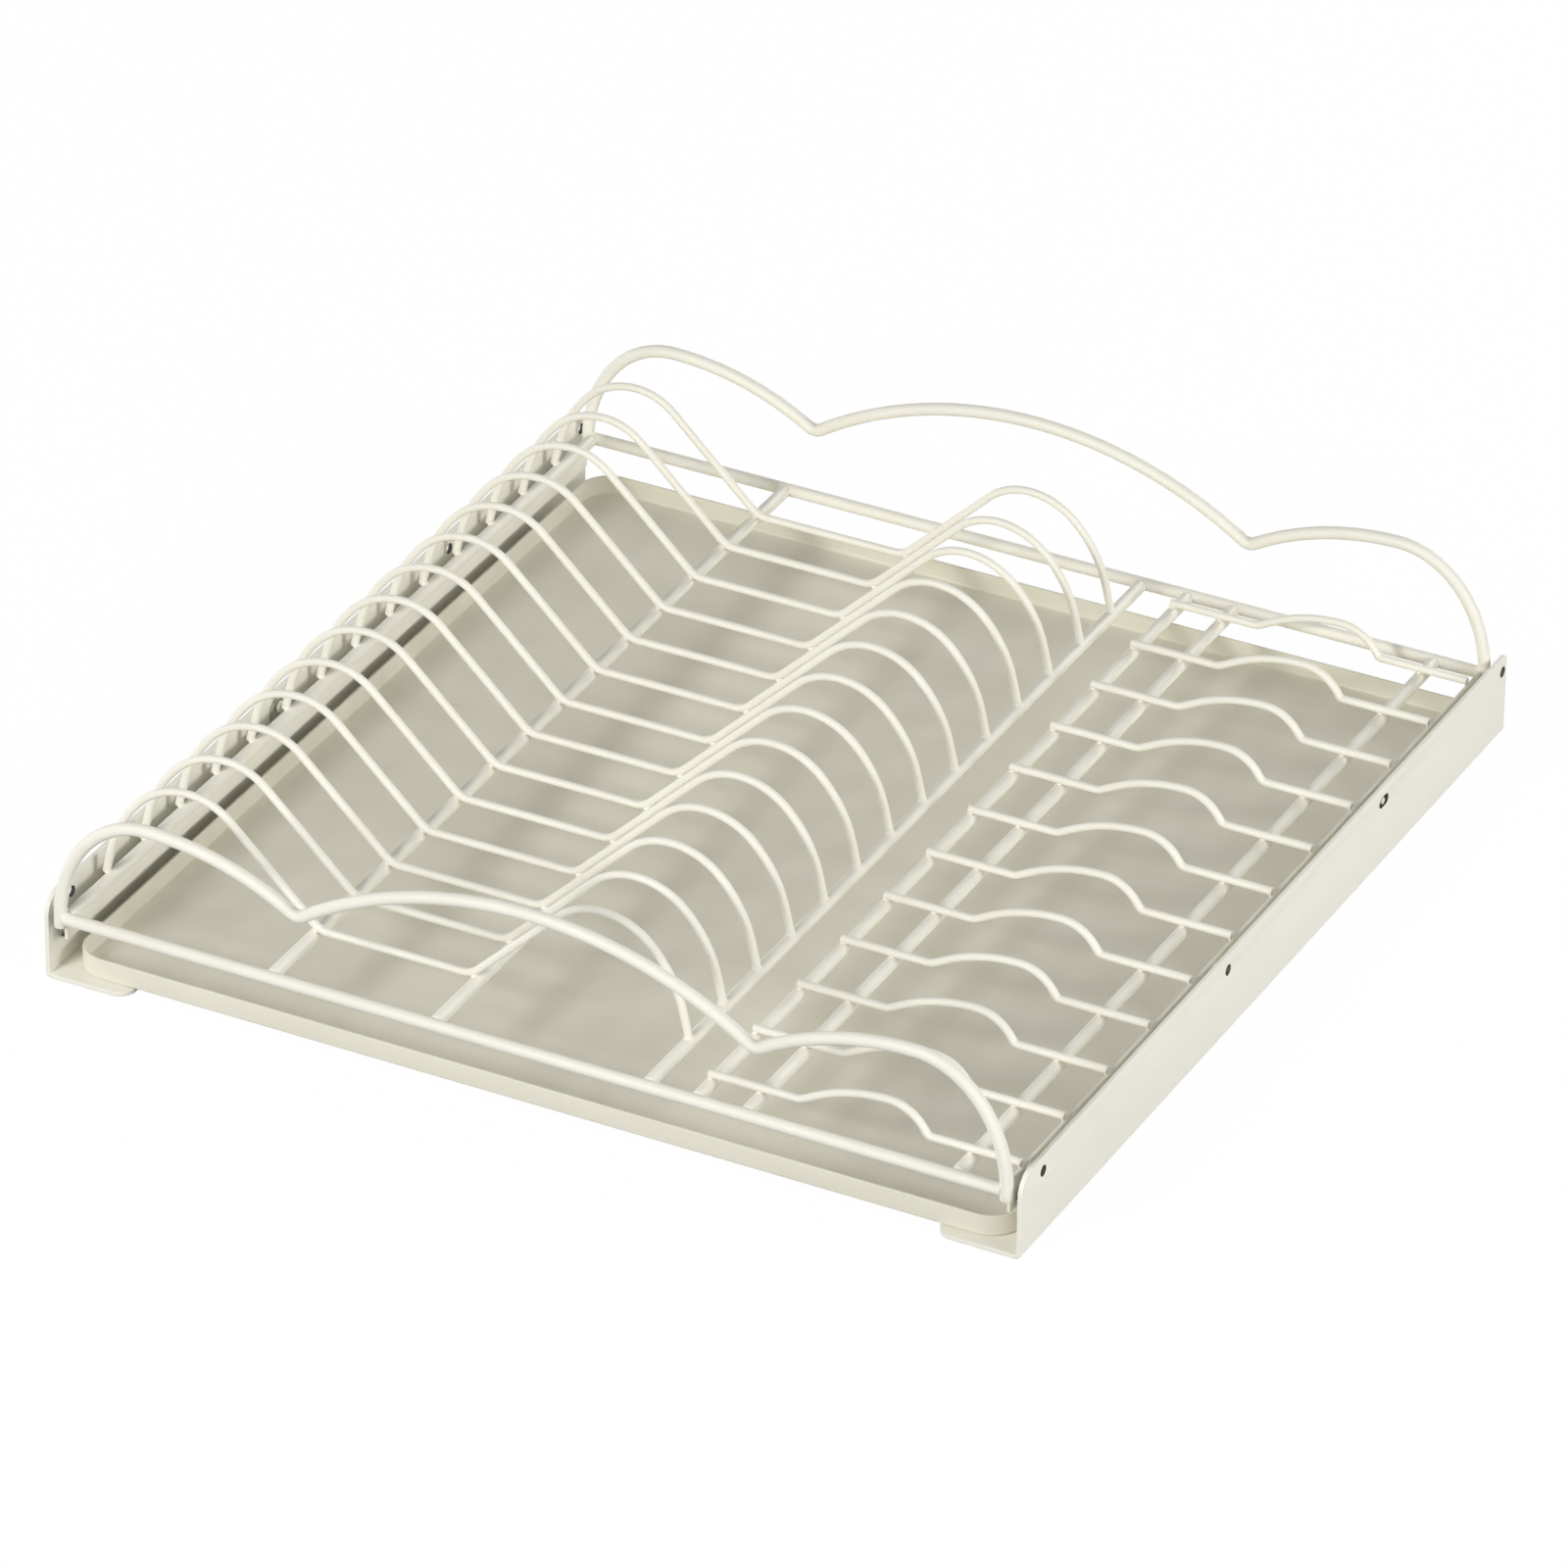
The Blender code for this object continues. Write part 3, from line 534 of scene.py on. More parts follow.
class WireBender:
    """Makes one round wire as a bending machine does: it pushes the wire and turns it."""

    SIDES = 18
    SOFT_EDGE = 50.0

    def __init__(self, name: str, start: Place, heading: Place, diameter: float) -> None:
        """Clamp the wire's first section.

        Args:
            name: The wire's name.
            start: Middle of the first section.
            heading: Direction in which the wire leaves it.
            diameter: The wire's diameter.
        """
        self.at = Vector(start)
        self.heading = Vector(heading).normalized()
        self.wire = Bench.start(
            bpy.ops.mesh.primitive_circle_add, name, vertices=self.SIDES, radius=diameter / 2,
            fill_type="NOTHING", location=start, rotation=self.heading.to_track_quat("Z", "Y").to_euler(),
        )
        self.wire.data.name = name
        bpy.ops.object.mode_set(mode="EDIT")
        bpy.ops.mesh.select_mode(type="VERT")
        bpy.ops.mesh.select_all(action="SELECT")

    def push(self, length: float) -> "WireBender":
        """Feed a straight length."""
        step = self.heading * length
        bpy.ops.mesh.extrude_edges_move(TRANSFORM_OT_translate={"value": tuple(step)})
        self.at += step
        return self

    def bend(self, radius: float, angle: float, way: Turn, fine: float = BEND_STEP) -> "WireBender":
        """Bend the wire round a former that lies crosswise.

        Args:
            radius: Radius of the wire's middle line.
            angle: Angle of the bend.
            way: Whether it turns up or down, for a wire that runs to the right.
            fine: Largest angle between two sections.

        Returns:
            The bender, for the next move.
        """
        side = Vector((-self.heading.z, 0.0, self.heading.x)) * way.value
        centre = self.at + side * radius
        steps = max(2, math.ceil(angle / fine))
        bpy.ops.mesh.spin(steps=steps, angle=angle, center=tuple(centre), axis=(0.0, way.value, 0.0))
        turned = Matrix.Rotation(-way.value * angle, 3, "Y")
        self.at = centre + turned @ (self.at - centre)
        self.heading = turned @ self.heading
        return self

    def cut(self, end_round: float) -> Piece:
        """Cut the wire off, close both ends and round their rims.

        Args:
            end_round: Radius of the rounding.

        Returns:
            The finished wire.
        """
        bpy.ops.mesh.select_all(action="SELECT")
        bpy.ops.mesh.fill_holes(sides=0)
        bpy.ops.mesh.select_all(action="SELECT")
        bpy.ops.mesh.normals_make_consistent(inside=False)
        Bench.leave()
        Bench.choose(self.wire, "FACE", lambda mesh, face: len(face.vertices) > 4)
        bpy.ops.mesh.region_to_loop()
        bpy.ops.mesh.bevel(offset=end_round, segments=2)
        Bench.leave()
        Bench.smooth(self.wire, self.SOFT_EDGE)
        return self.wire


@dataclass(frozen=True)
class Weld:
    """A resistance weld: a low nugget that fills the notch between two round wires."""

    at: Place
    size: Triple

    def nugget(self) -> Piece:
        """Return the nugget as an object of its own."""
        return Bench.start(
            bpy.ops.mesh.primitive_uv_sphere_add, segments=16, ring_count=9, radius=1.0,
            location=self.at, scale=self.size,
        )


def weld_on(wire: Piece, welds: Sequence[Weld]) -> None:
    """Fuse weld nuggets to a wire."""
    Bench.unite(wire, [weld.nugget() for weld in welds])
    Bench.smooth(wire, WireBender.SOFT_EDGE)


class Rack:
    """The places that all sub-assemblies share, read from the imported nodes."""

    def __init__(self) -> None:
        """Read the rails' and the right strip's boxes."""
        rail_low, rail_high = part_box("front_rail")
        self.front_y = (rail_low.y + rail_high.y) / 2
        self.rail_z = (rail_low.z + rail_high.z) / 2
        rear_low, rear_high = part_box("rear_rail")
        self.rear_y = (rear_low.y + rear_high.y) / 2
        strip_low, strip_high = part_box("side_strip_right")
        self.strip_inner_x = strip_low.x
        self.strip_x = (strip_low.x + strip_high.x) / 2
        self.bar_top_z = strip_high.z

    def middle(self, node: str) -> Vector:
        """Return the middle of a node's box."""
        low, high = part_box(node)
        return (low + high) / 2

    def dress(self, piece: Piece, body: str, slot: str, material: bpy.types.Material, node: str) -> None:
        """Give a finished piece its finish, its body and the node it stands for.

        Args:
            piece: The finished piece.
            body: Body that it rides on.
            slot: Material slot of the record; not used.
            material: Its finish.
            node: Node that it replaces.
        """
        piece.data.materials.clear()
        piece.data.materials.append(material)
        for face in piece.data.polygons:
            face.material_index = 0
        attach(piece, body)
        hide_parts(node)
        LOG.info("%s: %d faces on %s", piece.name, len(piece.data.polygons), body)


@dataclass
class Basket:
    """The wire basket: rails, bars, side strips, scalloped guards and both rows of wires."""

    rack: Rack
    finishes: Finishes
    thick: float = 5.8 * MM
    thin: float = 3.6 * MM
    end_round: float = 0.35 * MM
    seat_gap: float = 0.3 * MM
    body: str = "wire_basket"

    # Rails, bars and strips
    rail_end_share: float = 0.8
    bar_sink: float = 0.6 * MM
    collar_length: float = 0.6 * MM
    collar_shares: tuple[float, float] = (0.52, 0.46)
    strip_edge: float = 0.7 * MM
    seam_shares: tuple[float, float] = (0.36, 0.22)
    seam_reach_left: float = 0.6 * MM
    seam_reach_right: float = 3.6 * MM
    seam_drop: float = 0.1 * MM
    seam_proud: float = 0.2 * MM

    # Scalloped guards
    centre_height: float = 67.6 * MM
    lobe_height: float = 55.0 * MM
    valley_height: float = 33.5 * MM
    valley_radius: float = 6.0 * MM
    valley_share: float = 0.4825
    lobe_share: float = 0.806
    leg_drop: float = 4.5 * MM
    shoulder_steps: int = 12
    crest_step: float = math.radians(1.5)
    valley_step: float = math.radians(6.0)
    neck_length: float = 1.1 * MM
    neck_shares: tuple[float, float] = (0.49, 0.54)

    # Plate wires
    plate_count: int = 14
    cradle_middle_x: float = -83.1 * MM
    cradle_flat_reach: float = 31.9 * MM
    cradle_bend: float = 12.0 * MM
    arch_height: float = 52.5 * MM
    crown_radius: float = 28.0 * MM
    shoulder_radius: float = 33.0 * MM
    leg_radius: float = 58.0 * MM
    shoulder_turn: float = math.radians(45.0)
    leg_lean: float = math.radians(13.4)
    leg_step: float = math.radians(4.0)
    leg_sink: float = 0.9 * MM
    left_foot_outset: float = 1.3 * MM
    left_foot_drop: float = 0.4 * MM
    left_foot_weld: Triple = (1.7 * MM, 2.0 * MM, 1.1 * MM)
    right_foot_weld: Triple = (2.2 * MM, 2.4 * MM, 0.9 * MM)
    cradle_weld: Triple = (1.5 * MM, 1.7 * MM, 1.2 * MM)

    # Bowl wires
    bowl_count: int = 12
    hump_start_offset: float = 18.6 * MM
    hump_end_offset: float = 19.8 * MM
    hump_rise: float = 12.2 * MM
    hump_lead: float = math.radians(28.0)
    hump_tail: float = math.radians(58.0)
    hump_radii: tuple[float, float, float, float] = (9.0 * MM, 70.0 * MM, 20.0 * MM, 3.0 * MM)
    hump_step: float = math.radians(2.5)
    hump_end_step: float = math.radians(8.0)
    overhang: float = 1.0 * MM
    bar_weld: Triple = (1.5 * MM, 1.5 * MM, 0.75 * MM)
    strip_weld: Triple = (0.7 * MM, 1.3 * MM, 0.6 * MM)
    strip_weld_inset: float = 0.2 * MM

    def build(self) -> None:
        """Build and dress the whole basket."""
        self.rails()
        self.bars()
        self.strips()
        self.guards()
        self.plate_wires()
        self.bowl_wires()

    def finish(self, piece: Piece) -> None:
        """Dress a piece that replaces the node of its own name."""
        self.rack.dress(piece, self.body, "cream_coat", self.finishes.coat, piece.name.removesuffix(FINE))

    def wire(self, node: str, start: Place, heading: Place, thin: bool = False) -> WireBender:
        """Start a node's wire.

        Args:
            node: The node that it stands for.
            start: Middle of its first section.
            heading: Direction in which it leaves it.
            thin: Whether it is a thin wire.

        Returns:
            The bender with the wire in it.
        """
        return WireBender(node + FINE, start, heading, self.thin if thin else self.thick)

    def rails(self) -> None:
        """Make the two straight cross rails, run into the guards' legs."""
        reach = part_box("front_guard")[1].x - self.thick * self.rail_end_share
        for node, rail_y in (("front_rail", self.rack.front_y), ("rear_rail", self.rack.rear_y)):
            rail = self.wire(node, (-reach, rail_y, self.rack.rail_z), (1.0, 0.0, 0.0))
            self.finish(rail.push(2 * reach).cut(self.end_round))

    def bars(self) -> None:
        """Make the seven lengthwise bars, welded to the insides of the rails."""
        run_in = self.thick / 2 - self.bar_sink
        start_y = self.rack.front_y + run_in
        length = self.rack.rear_y - self.rack.front_y - 2 * run_in
        seat = self.thick * self.collar_shares[0]
        collar = (seat, self.collar_length, self.thick * self.collar_shares[1])
        names = ("side_bar", "cradle_bar_left", "cradle_bar_right", "plate_end_bar", "bowl_end_bar",
                 "bowl_bar_left", "bowl_bar_right")
        for node in names:
            bar_x = self.rack.middle(node).x
            bar = self.wire(node, (bar_x, start_y, self.rack.rail_z), (0.0, 1.0, 0.0))
            bar = bar.push(length).cut(self.end_round)
            weld_ys = (self.rack.front_y + seat, self.rack.rear_y - seat)
            weld_on(bar, [Weld((bar_x, weld_y, self.rack.rail_z), collar) for weld_y in weld_ys])
            self.finish(bar)

    def strips(self) -> None:
        """Make the two flat side strips, with rolled edges and welds at the legs."""
        for side in Side:
            node = "side_strip_" + side.word
            low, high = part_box(node)
            strip = Bench.block((low + high) / 2, high - low, node + FINE)
            Bench.apply(strip, "BEVEL", width=self.strip_edge, segments=4, limit_method="ANGLE")
            leg_x = side.value * (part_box("front_guard")[1].x - self.thick / 2)
            reach = self.seam_reach_right if side is Side.RIGHT else self.seam_reach_left
            seam = (self.thick * self.seam_shares[0], self.thick * self.seam_shares[1], reach)
            weld_z = high.z - reach - self.seam_drop
            weld_ys = (low.y - self.seam_proud, high.y + self.seam_proud)
            weld_on(strip, [Weld((leg_x, weld_y, weld_z), seam) for weld_y in weld_ys])
            Bench.smooth(strip)
            self.finish(strip)

    def guards(self) -> None:
        """Make the two scalloped guards."""
        leg_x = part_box("front_guard")[1].x - self.thick / 2
        valley_x = self.valley_share * leg_x
        lobe_x = self.lobe_share * leg_x
        wide = self.through(valley_x, self.centre_height - self.valley_height)
        lobe = self.through(lobe_x - valley_x, self.lobe_height - self.valley_height)
        wide_at = Vector((0.0, self.centre_height - wide))
        lobe_at = Vector((lobe_x, self.lobe_height - lobe))
        line = lobe_at - wide_at
        reach_wide = wide + self.valley_radius
        reach_lobe = lobe + self.valley_radius
        along = (line.length_squared + reach_wide ** 2 - reach_lobe ** 2) / (2 * line.length)
        off = math.sqrt(reach_wide ** 2 - along ** 2)
        unit = line.normalized()
        valley = wide_at + unit * along + Vector((-unit.y, unit.x)) * off
        wide_turn = QUARTER - math.atan2(valley.y - wide_at.y, valley.x - wide_at.x)
        lobe_turn = math.atan2(valley.y - lobe_at.y, valley.x - lobe_at.x) - QUARTER
        half = [
            (radius, angle, Turn.DOWNWARD, BEND_STEP)
            for radius, angle in reversed(self.ellipse(leg_x - lobe_x, self.lobe_height))
        ]
        half.append((lobe, lobe_turn, Turn.DOWNWARD, self.crest_step))
        half.append((self.valley_radius, wide_turn + lobe_turn, Turn.UPWARD, self.valley_step))
        moves = (*half, (wide, 2 * wide_turn, Turn.DOWNWARD, self.crest_step), *reversed(half))
        neck = (self.neck_length, self.thick * self.neck_shares[0], self.thick * self.neck_shares[1])
        neck_x = leg_x - self.thick / 2
        for node, guard_y in (("front_guard", self.rack.front_y), ("rear_guard", self.rack.rear_y)):
            foot = (-leg_x, guard_y, self.rack.rail_z - self.leg_drop)
            bender = self.wire(node, foot, (0.0, 0.0, 1.0)).push(self.leg_drop)
            for move in moves:
                bender.bend(*move)
            guard = bender.push(self.leg_drop).cut(self.end_round)
            weld_on(guard, [Weld((side.value * neck_x, guard_y, self.rack.rail_z), neck) for side in Side])
            self.finish(guard)

    @staticmethod
    def through(half_chord: float, rise: float) -> float:
        """Return the radius of an arc with a half chord and a rise."""
        return (half_chord ** 2 + rise ** 2) / (2 * rise)

    def ellipse(self, across: float, down: float) -> list[tuple[float, float]]:
        """Split a quarter of an ellipse into short arcs.

        Args:
            across: Half width of the ellipse.
            down: Half height of the ellipse.

        Returns:
            Radius and angle of each arc, from the crest down to the side.
        """
        arcs = []
        slopes = [QUARTER * step / self.shoulder_steps for step in range(self.shoulder_steps + 1)]
        for first, second in zip(slopes, slopes[1:]):
            points = []
            for slope in (first, second):
                spot = math.atan2(across * math.sin(slope), down * math.cos(slope))
                points.append(Vector((across * math.sin(spot), down * math.cos(spot))))
            chord = (points[1] - points[0]).length
            angle = second - first
            arcs.append((chord / (2 * math.sin(angle / 2)), angle))
        return arcs

    def half_cradle(self, reach: float, end_z: float) -> tuple[float, float, float]:
        """Work out one half of a plate wire.

        Args:
            reach: Distance from the middle of the flat to the end of the leg.
            end_z: Height at which the leg ends.

        Returns:
            Slant angle, length of the slant and length of the straight leg.
        """
        crown_z = self.rack.rail_z + self.arch_height
        leg_turn = QUARTER - self.leg_lean
        wider = self.leg_radius - self.shoulder_radius
        across = self.leg_radius * math.sin(leg_turn) - wider * math.sin(self.shoulder_turn)
        drop = self.shoulder_radius - self.leg_radius * math.cos(leg_turn)
        drop += wider * math.cos(self.shoulder_turn)
        leg_fall = crown_z - drop - end_z
        crown_at = reach - across - leg_fall * math.tan(self.leg_lean)
        run = crown_at - self.cradle_flat_reach
        rise = crown_z - self.crown_radius - self.foot_z - self.cradle_bend
        apart = math.hypot(run, rise)
        both = self.cradle_bend + self.crown_radius
        slant = math.atan2(rise, run) + math.asin(both / apart)
        return slant, math.sqrt(apart ** 2 - both ** 2), leg_fall / math.cos(self.leg_lean)

    @property
    def foot_z(self) -> float:
        """Height of a plate wire's flat part."""
        contact = self.cradle_bend + self.thin / 2 + self.thick / 2 + self.seat_gap
        spread = self.rack.middle("cradle_bar_right").x - self.cradle_middle_x
        aside = spread - self.cradle_flat_reach
        return self.rack.rail_z - self.cradle_bend + math.sqrt(contact ** 2 - aside ** 2)

    def plate_wires(self) -> None:
        """Make the plate wires: arch, slant, flat, slant, arch."""
        bar_x = self.rack.middle("plate_end_bar").x
        first_y = self.rack.middle("plate_wire_01").y
        left_z = self.rack.bar_top_z + 2 * self.seat_gap
        left = self.half_cradle(self.cradle_middle_x + self.rack.strip_x, left_z)
        right = self.half_cradle(bar_x - self.cradle_middle_x, self.rack.bar_top_z + self.seat_gap)
        lean = Vector((math.sin(self.leg_lean), 0.0, math.cos(self.leg_lean)))
        foot = Vector((-self.rack.strip_x, first_y, left_z))
        leg_turn = QUARTER - self.leg_lean - self.shoulder_turn
        bender = self.wire("plate_wire_01", foot - lean * self.leg_sink, lean, thin=True)
        bender.push(left[2] + self.leg_sink)
        bender.bend(self.leg_radius, leg_turn, Turn.DOWNWARD, self.leg_step)
        bender.bend(self.shoulder_radius, self.shoulder_turn, Turn.DOWNWARD)
        bender.bend(self.crown_radius, left[0], Turn.DOWNWARD)
        bender.push(left[1]).bend(self.cradle_bend, left[0], Turn.UPWARD)
        bender.push(2 * self.cradle_flat_reach).bend(self.cradle_bend, right[0], Turn.UPWARD)
        bender.push(right[1]).bend(self.crown_radius, right[0], Turn.DOWNWARD)
        bender.bend(self.shoulder_radius, self.shoulder_turn, Turn.DOWNWARD)
        bender.bend(self.leg_radius, leg_turn, Turn.DOWNWARD, self.leg_step)
        wire = bender.push(right[2] + self.leg_sink).cut(self.end_round)
        weld_on(wire, self.plate_welds(first_y))
        self.repeat(wire, "plate_wire", self.plate_count)

    def plate_welds(self, wire_y: float) -> list[Weld]:
        """Place the welds of a plate wire.

        Args:
            wire_y: Where the wire stands.

        Returns:
            The welds at both feet and at both cradle bars.
        """
        side_x = self.rack.middle("side_bar").x - self.left_foot_outset
        left_at = (side_x, wire_y, self.rack.bar_top_z - self.left_foot_drop)
        right_at = (self.rack.middle("plate_end_bar").x, wire_y, self.rack.bar_top_z)
        welds = [Weld(left_at, self.left_foot_weld), Weld(right_at, self.right_foot_weld)]
        for sign, node in ((-1.0, "cradle_bar_left"), (1.0, "cradle_bar_right")):
            bend_x = self.cradle_middle_x + sign * self.cradle_flat_reach
            bend_at = Vector((bend_x, wire_y, self.foot_z + self.cradle_bend))
            bar_at = Vector((self.rack.middle(node).x, wire_y, self.rack.rail_z))
            outward = (bar_at - bend_at).normalized()
            welds.append(Weld(bend_at + outward * (self.cradle_bend + self.thin / 2), self.cradle_weld))
        return welds

    def bowl_wires(self) -> None:
        """Make the bowl wires: flat, one hump, flat."""
        first_y = self.rack.middle("bowl_wire_01").y
        base_z = self.rack.bar_top_z + self.thin / 2 + self.seat_gap
        start_bar = self.rack.middle("bowl_bar_left").x
        end_bar = self.rack.middle("bowl_bar_right").x
        end_bar_x = self.rack.middle("bowl_end_bar").x
        start_x = start_bar + self.hump_start_offset
        end_x = end_bar - self.hump_end_offset
        crest_in = start_x + self.hump_rise / math.tan(self.hump_lead)
        crest_out = end_x - self.hump_rise / math.tan(self.hump_tail)
        r_start, r_lead, r_tail, r_end = self.hump_radii
        cut_start = r_start * math.tan(self.hump_lead / 2)
        cut_lead = r_lead * math.tan(self.hump_lead / 2)
        cut_tail = r_tail * math.tan(self.hump_tail / 2)
        cut_end = r_end * math.tan(self.hump_tail / 2)
        left_x = end_bar_x - self.overhang
        bender = self.wire("bowl_wire_01", (left_x, first_y, base_z), (1.0, 0.0, 0.0), thin=True)
        bender.push(start_x - left_x - cut_start).bend(r_start, self.hump_lead, Turn.UPWARD)
        bender.push(self.hump_rise / math.sin(self.hump_lead) - cut_start - cut_lead)
        bender.bend(r_lead, self.hump_lead, Turn.DOWNWARD, self.hump_step)
        bender.push(crest_out - crest_in - cut_lead - cut_tail).bend(r_tail, self.hump_tail, Turn.DOWNWARD)
        bender.push(self.hump_rise / math.sin(self.hump_tail) - cut_tail - cut_end)
        bender.bend(r_end, self.hump_tail, Turn.UPWARD, self.hump_end_step)
        wire = bender.push(self.rack.strip_x - end_x - cut_end).cut(self.end_round)
        weld_z = self.rack.bar_top_z + self.seat_gap / 2
        welds = [Weld((weld_x, first_y, weld_z), self.bar_weld) for weld_x in (end_bar_x, start_bar, end_bar)]
        strip_at = (self.rack.strip_inner_x + self.strip_weld_inset, first_y, weld_z)
        welds.append(Weld(strip_at, self.strip_weld))
        weld_on(wire, welds)
        self.repeat(wire, "bowl_wire", self.bowl_count)

    def repeat(self, wire: Piece, prefix: str, count: int) -> None:
        """Copy a finished wire to the places of its row.

        Args:
            wire: The finished first wire.
            prefix: The nodes' common name.
            count: Number of wires in the row.
        """
        first_y = self.rack.middle(f"{prefix}_01").y
        row = [wire]
        for number in range(2, count + 1):
            node = f"{prefix}_{number:02d}"
            row.append(Bench.copy(wire, node + FINE, (0.0, self.rack.middle(node).y - first_y, 0.0)))
        for each in row:
            self.finish(each)


@dataclass
class SidePlates:
    """The two L-shaped side plates of bent sheet, with rounded corners and screw holes."""

    rack: Rack
    finishes: Finishes
    sheet: float = 2.0 * MM
    bend_radius: float = 2.5 * MM
    front_corner: float = 10.0 * MM
    rear_corner: float = 3.0 * MM
    flange_corner: float = 8.0 * MM
    hole: float = 5.0 * MM
    hole_sides: int = 36
    hole_drop: float = 7.4 * MM
    front_setback: float = 20.0 * MM
    rear_setback: float = 4.4 * MM
    inner_shares: tuple[float, float] = (0.407, 0.732)
    slot_length: float = 9.0 * MM
    edge_round: float = 0.35 * MM
    edge_angle: float = math.radians(50.0)
    bare_tilt: float = 0.8
    body: str = "cabinet_sides"

    def build(self) -> None:
        """Build and dress both plates."""
        for side, slotted in ((Side.LEFT, 1), (Side.RIGHT, 2)):
            node = "side_plate_" + side.word
            plate = self.bent_sheet(node, side)
            self.pierce(plate, side, slotted)
            Bench.apply(plate, "BEVEL", width=self.edge_round, segments=3, limit_method="ANGLE",
                        angle_limit=self.edge_angle)
            Bench.smooth(plate)
            self.rack.dress(plate, self.body, "cream_coat", self.finishes.sheet_coat, node)
            self.bare_holes(plate, side)

    def bent_sheet(self, node: str, side: Side) -> Piece:
        """Fold one plate from a flat sheet and round its corners.

        Args:
            node: The node that it stands for.
            side: Which side of the rack.

        Returns:
            The folded plate, without holes.
        """
        low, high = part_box(node)
        outer = side.outermost(low, high)
        flange_x = side.innermost(low, high)
        middle_y = (low.y + high.y) / 2
        plate = Bench.sheet(node + FINE, outer, low, high)
        Bench.choose(plate, "EDGE", lambda mesh, edge: all(
            co.z < low.z + self.sheet for co in ends(mesh, edge)))
        bpy.ops.mesh.extrude_edges_move(TRANSFORM_OT_translate={"value": (flange_x - outer, 0.0, 0.0)})
        Bench.leave()
        Bench.bevel(plate, "EDGE", lambda mesh, edge: all(
            co.z < low.z + self.sheet and abs(co.x - outer) < self.sheet for co in ends(mesh, edge)
        ), self.bend_radius, segments=8, profile=0.5)
        top = high.z - self.sheet
        corners = (
            (lambda co: co.z > top and co.y < middle_y, self.front_corner),
            (lambda co: co.z > top and co.y > middle_y, self.rear_corner),
            (lambda co: abs(co.x - flange_x) < self.sheet, self.flange_corner),
        )
        for test, radius in corners:
            Bench.bevel(plate, "VERT", lambda mesh, vert, test=test: test(vert.co), radius,
                        segments=12, affect="VERTICES", profile=0.5)
        Bench.thicken(plate, self.sheet, side.value)
        return plate

    def hole_places(self, side: Side) -> list[float]:
        """Return the places of a plate's holes along Y, from the front."""
        low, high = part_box("side_plate_" + side.word)
        inner = [low.y + share * (high.y - low.y) for share in self.inner_shares]
        return [low.y + self.front_setback, *inner, high.y - self.rear_setback]

    def pierce(self, plate: Piece, side: Side, slotted: int) -> None:
        """Punch the row of holes near the top edge.

        Args:
            plate: The folded plate.
            side: Which side of the rack.
            slotted: Index of the hole that is a slot.
        """
        low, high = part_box("side_plate_" + side.word)
        punch_x = side.outermost(low, high) - side.value * self.sheet / 2
        hole_z = high.z - self.hole_drop
        places = self.hole_places(side)
        punches = [Bench.rod((punch_x, place_y, hole_z), self.hole / 2, 3 * self.sheet, self.hole_sides)
                   for place_y in places]
        self.lengthen(punches[slotted], places[slotted])
        Bench.unite(plate, punches, "DIFFERENCE")

    def lengthen(self, punch: Piece, place_y: float) -> None:
        """Pull the two halves of a round punch apart, so that it cuts a slot."""
        reach = (self.slot_length - self.hole) / 2
        for sign in (-1.0, 1.0):
            Bench.choose(punch, "VERT", lambda mesh, vert, sign=sign: (vert.co.y - place_y) * sign > TINY)
            bpy.ops.transform.translate(value=(0.0, sign * reach, 0.0))
            Bench.leave()

    def bare_holes(self, plate: Piece, side: Side) -> None:
        """Give the walls of the punched holes a dark bare-steel tone: painted shade that stands in for the
        shade inside the holes.

        Args:
            plate: The dressed plate.
            side: Which side of the rack.
        """
        # Painted shade: the dark hole-wall finish darkens the holes where shade falls.
        plate.data.materials.append(self.finishes.punched)
        hole_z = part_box("side_plate_" + side.word)[1].z - self.hole_drop
        across = self.hole / 2 + self.edge_round / 2
        along = self.slot_length / 2 + self.edge_round / 2
        for face in plate.data.polygons:
            near = any(abs(face.center.y - place) < along for place in self.hole_places(side))
            if near and abs(face.center.z - hole_z) < across and abs(face.normal.x) < self.bare_tilt:
                face.material_index = 1


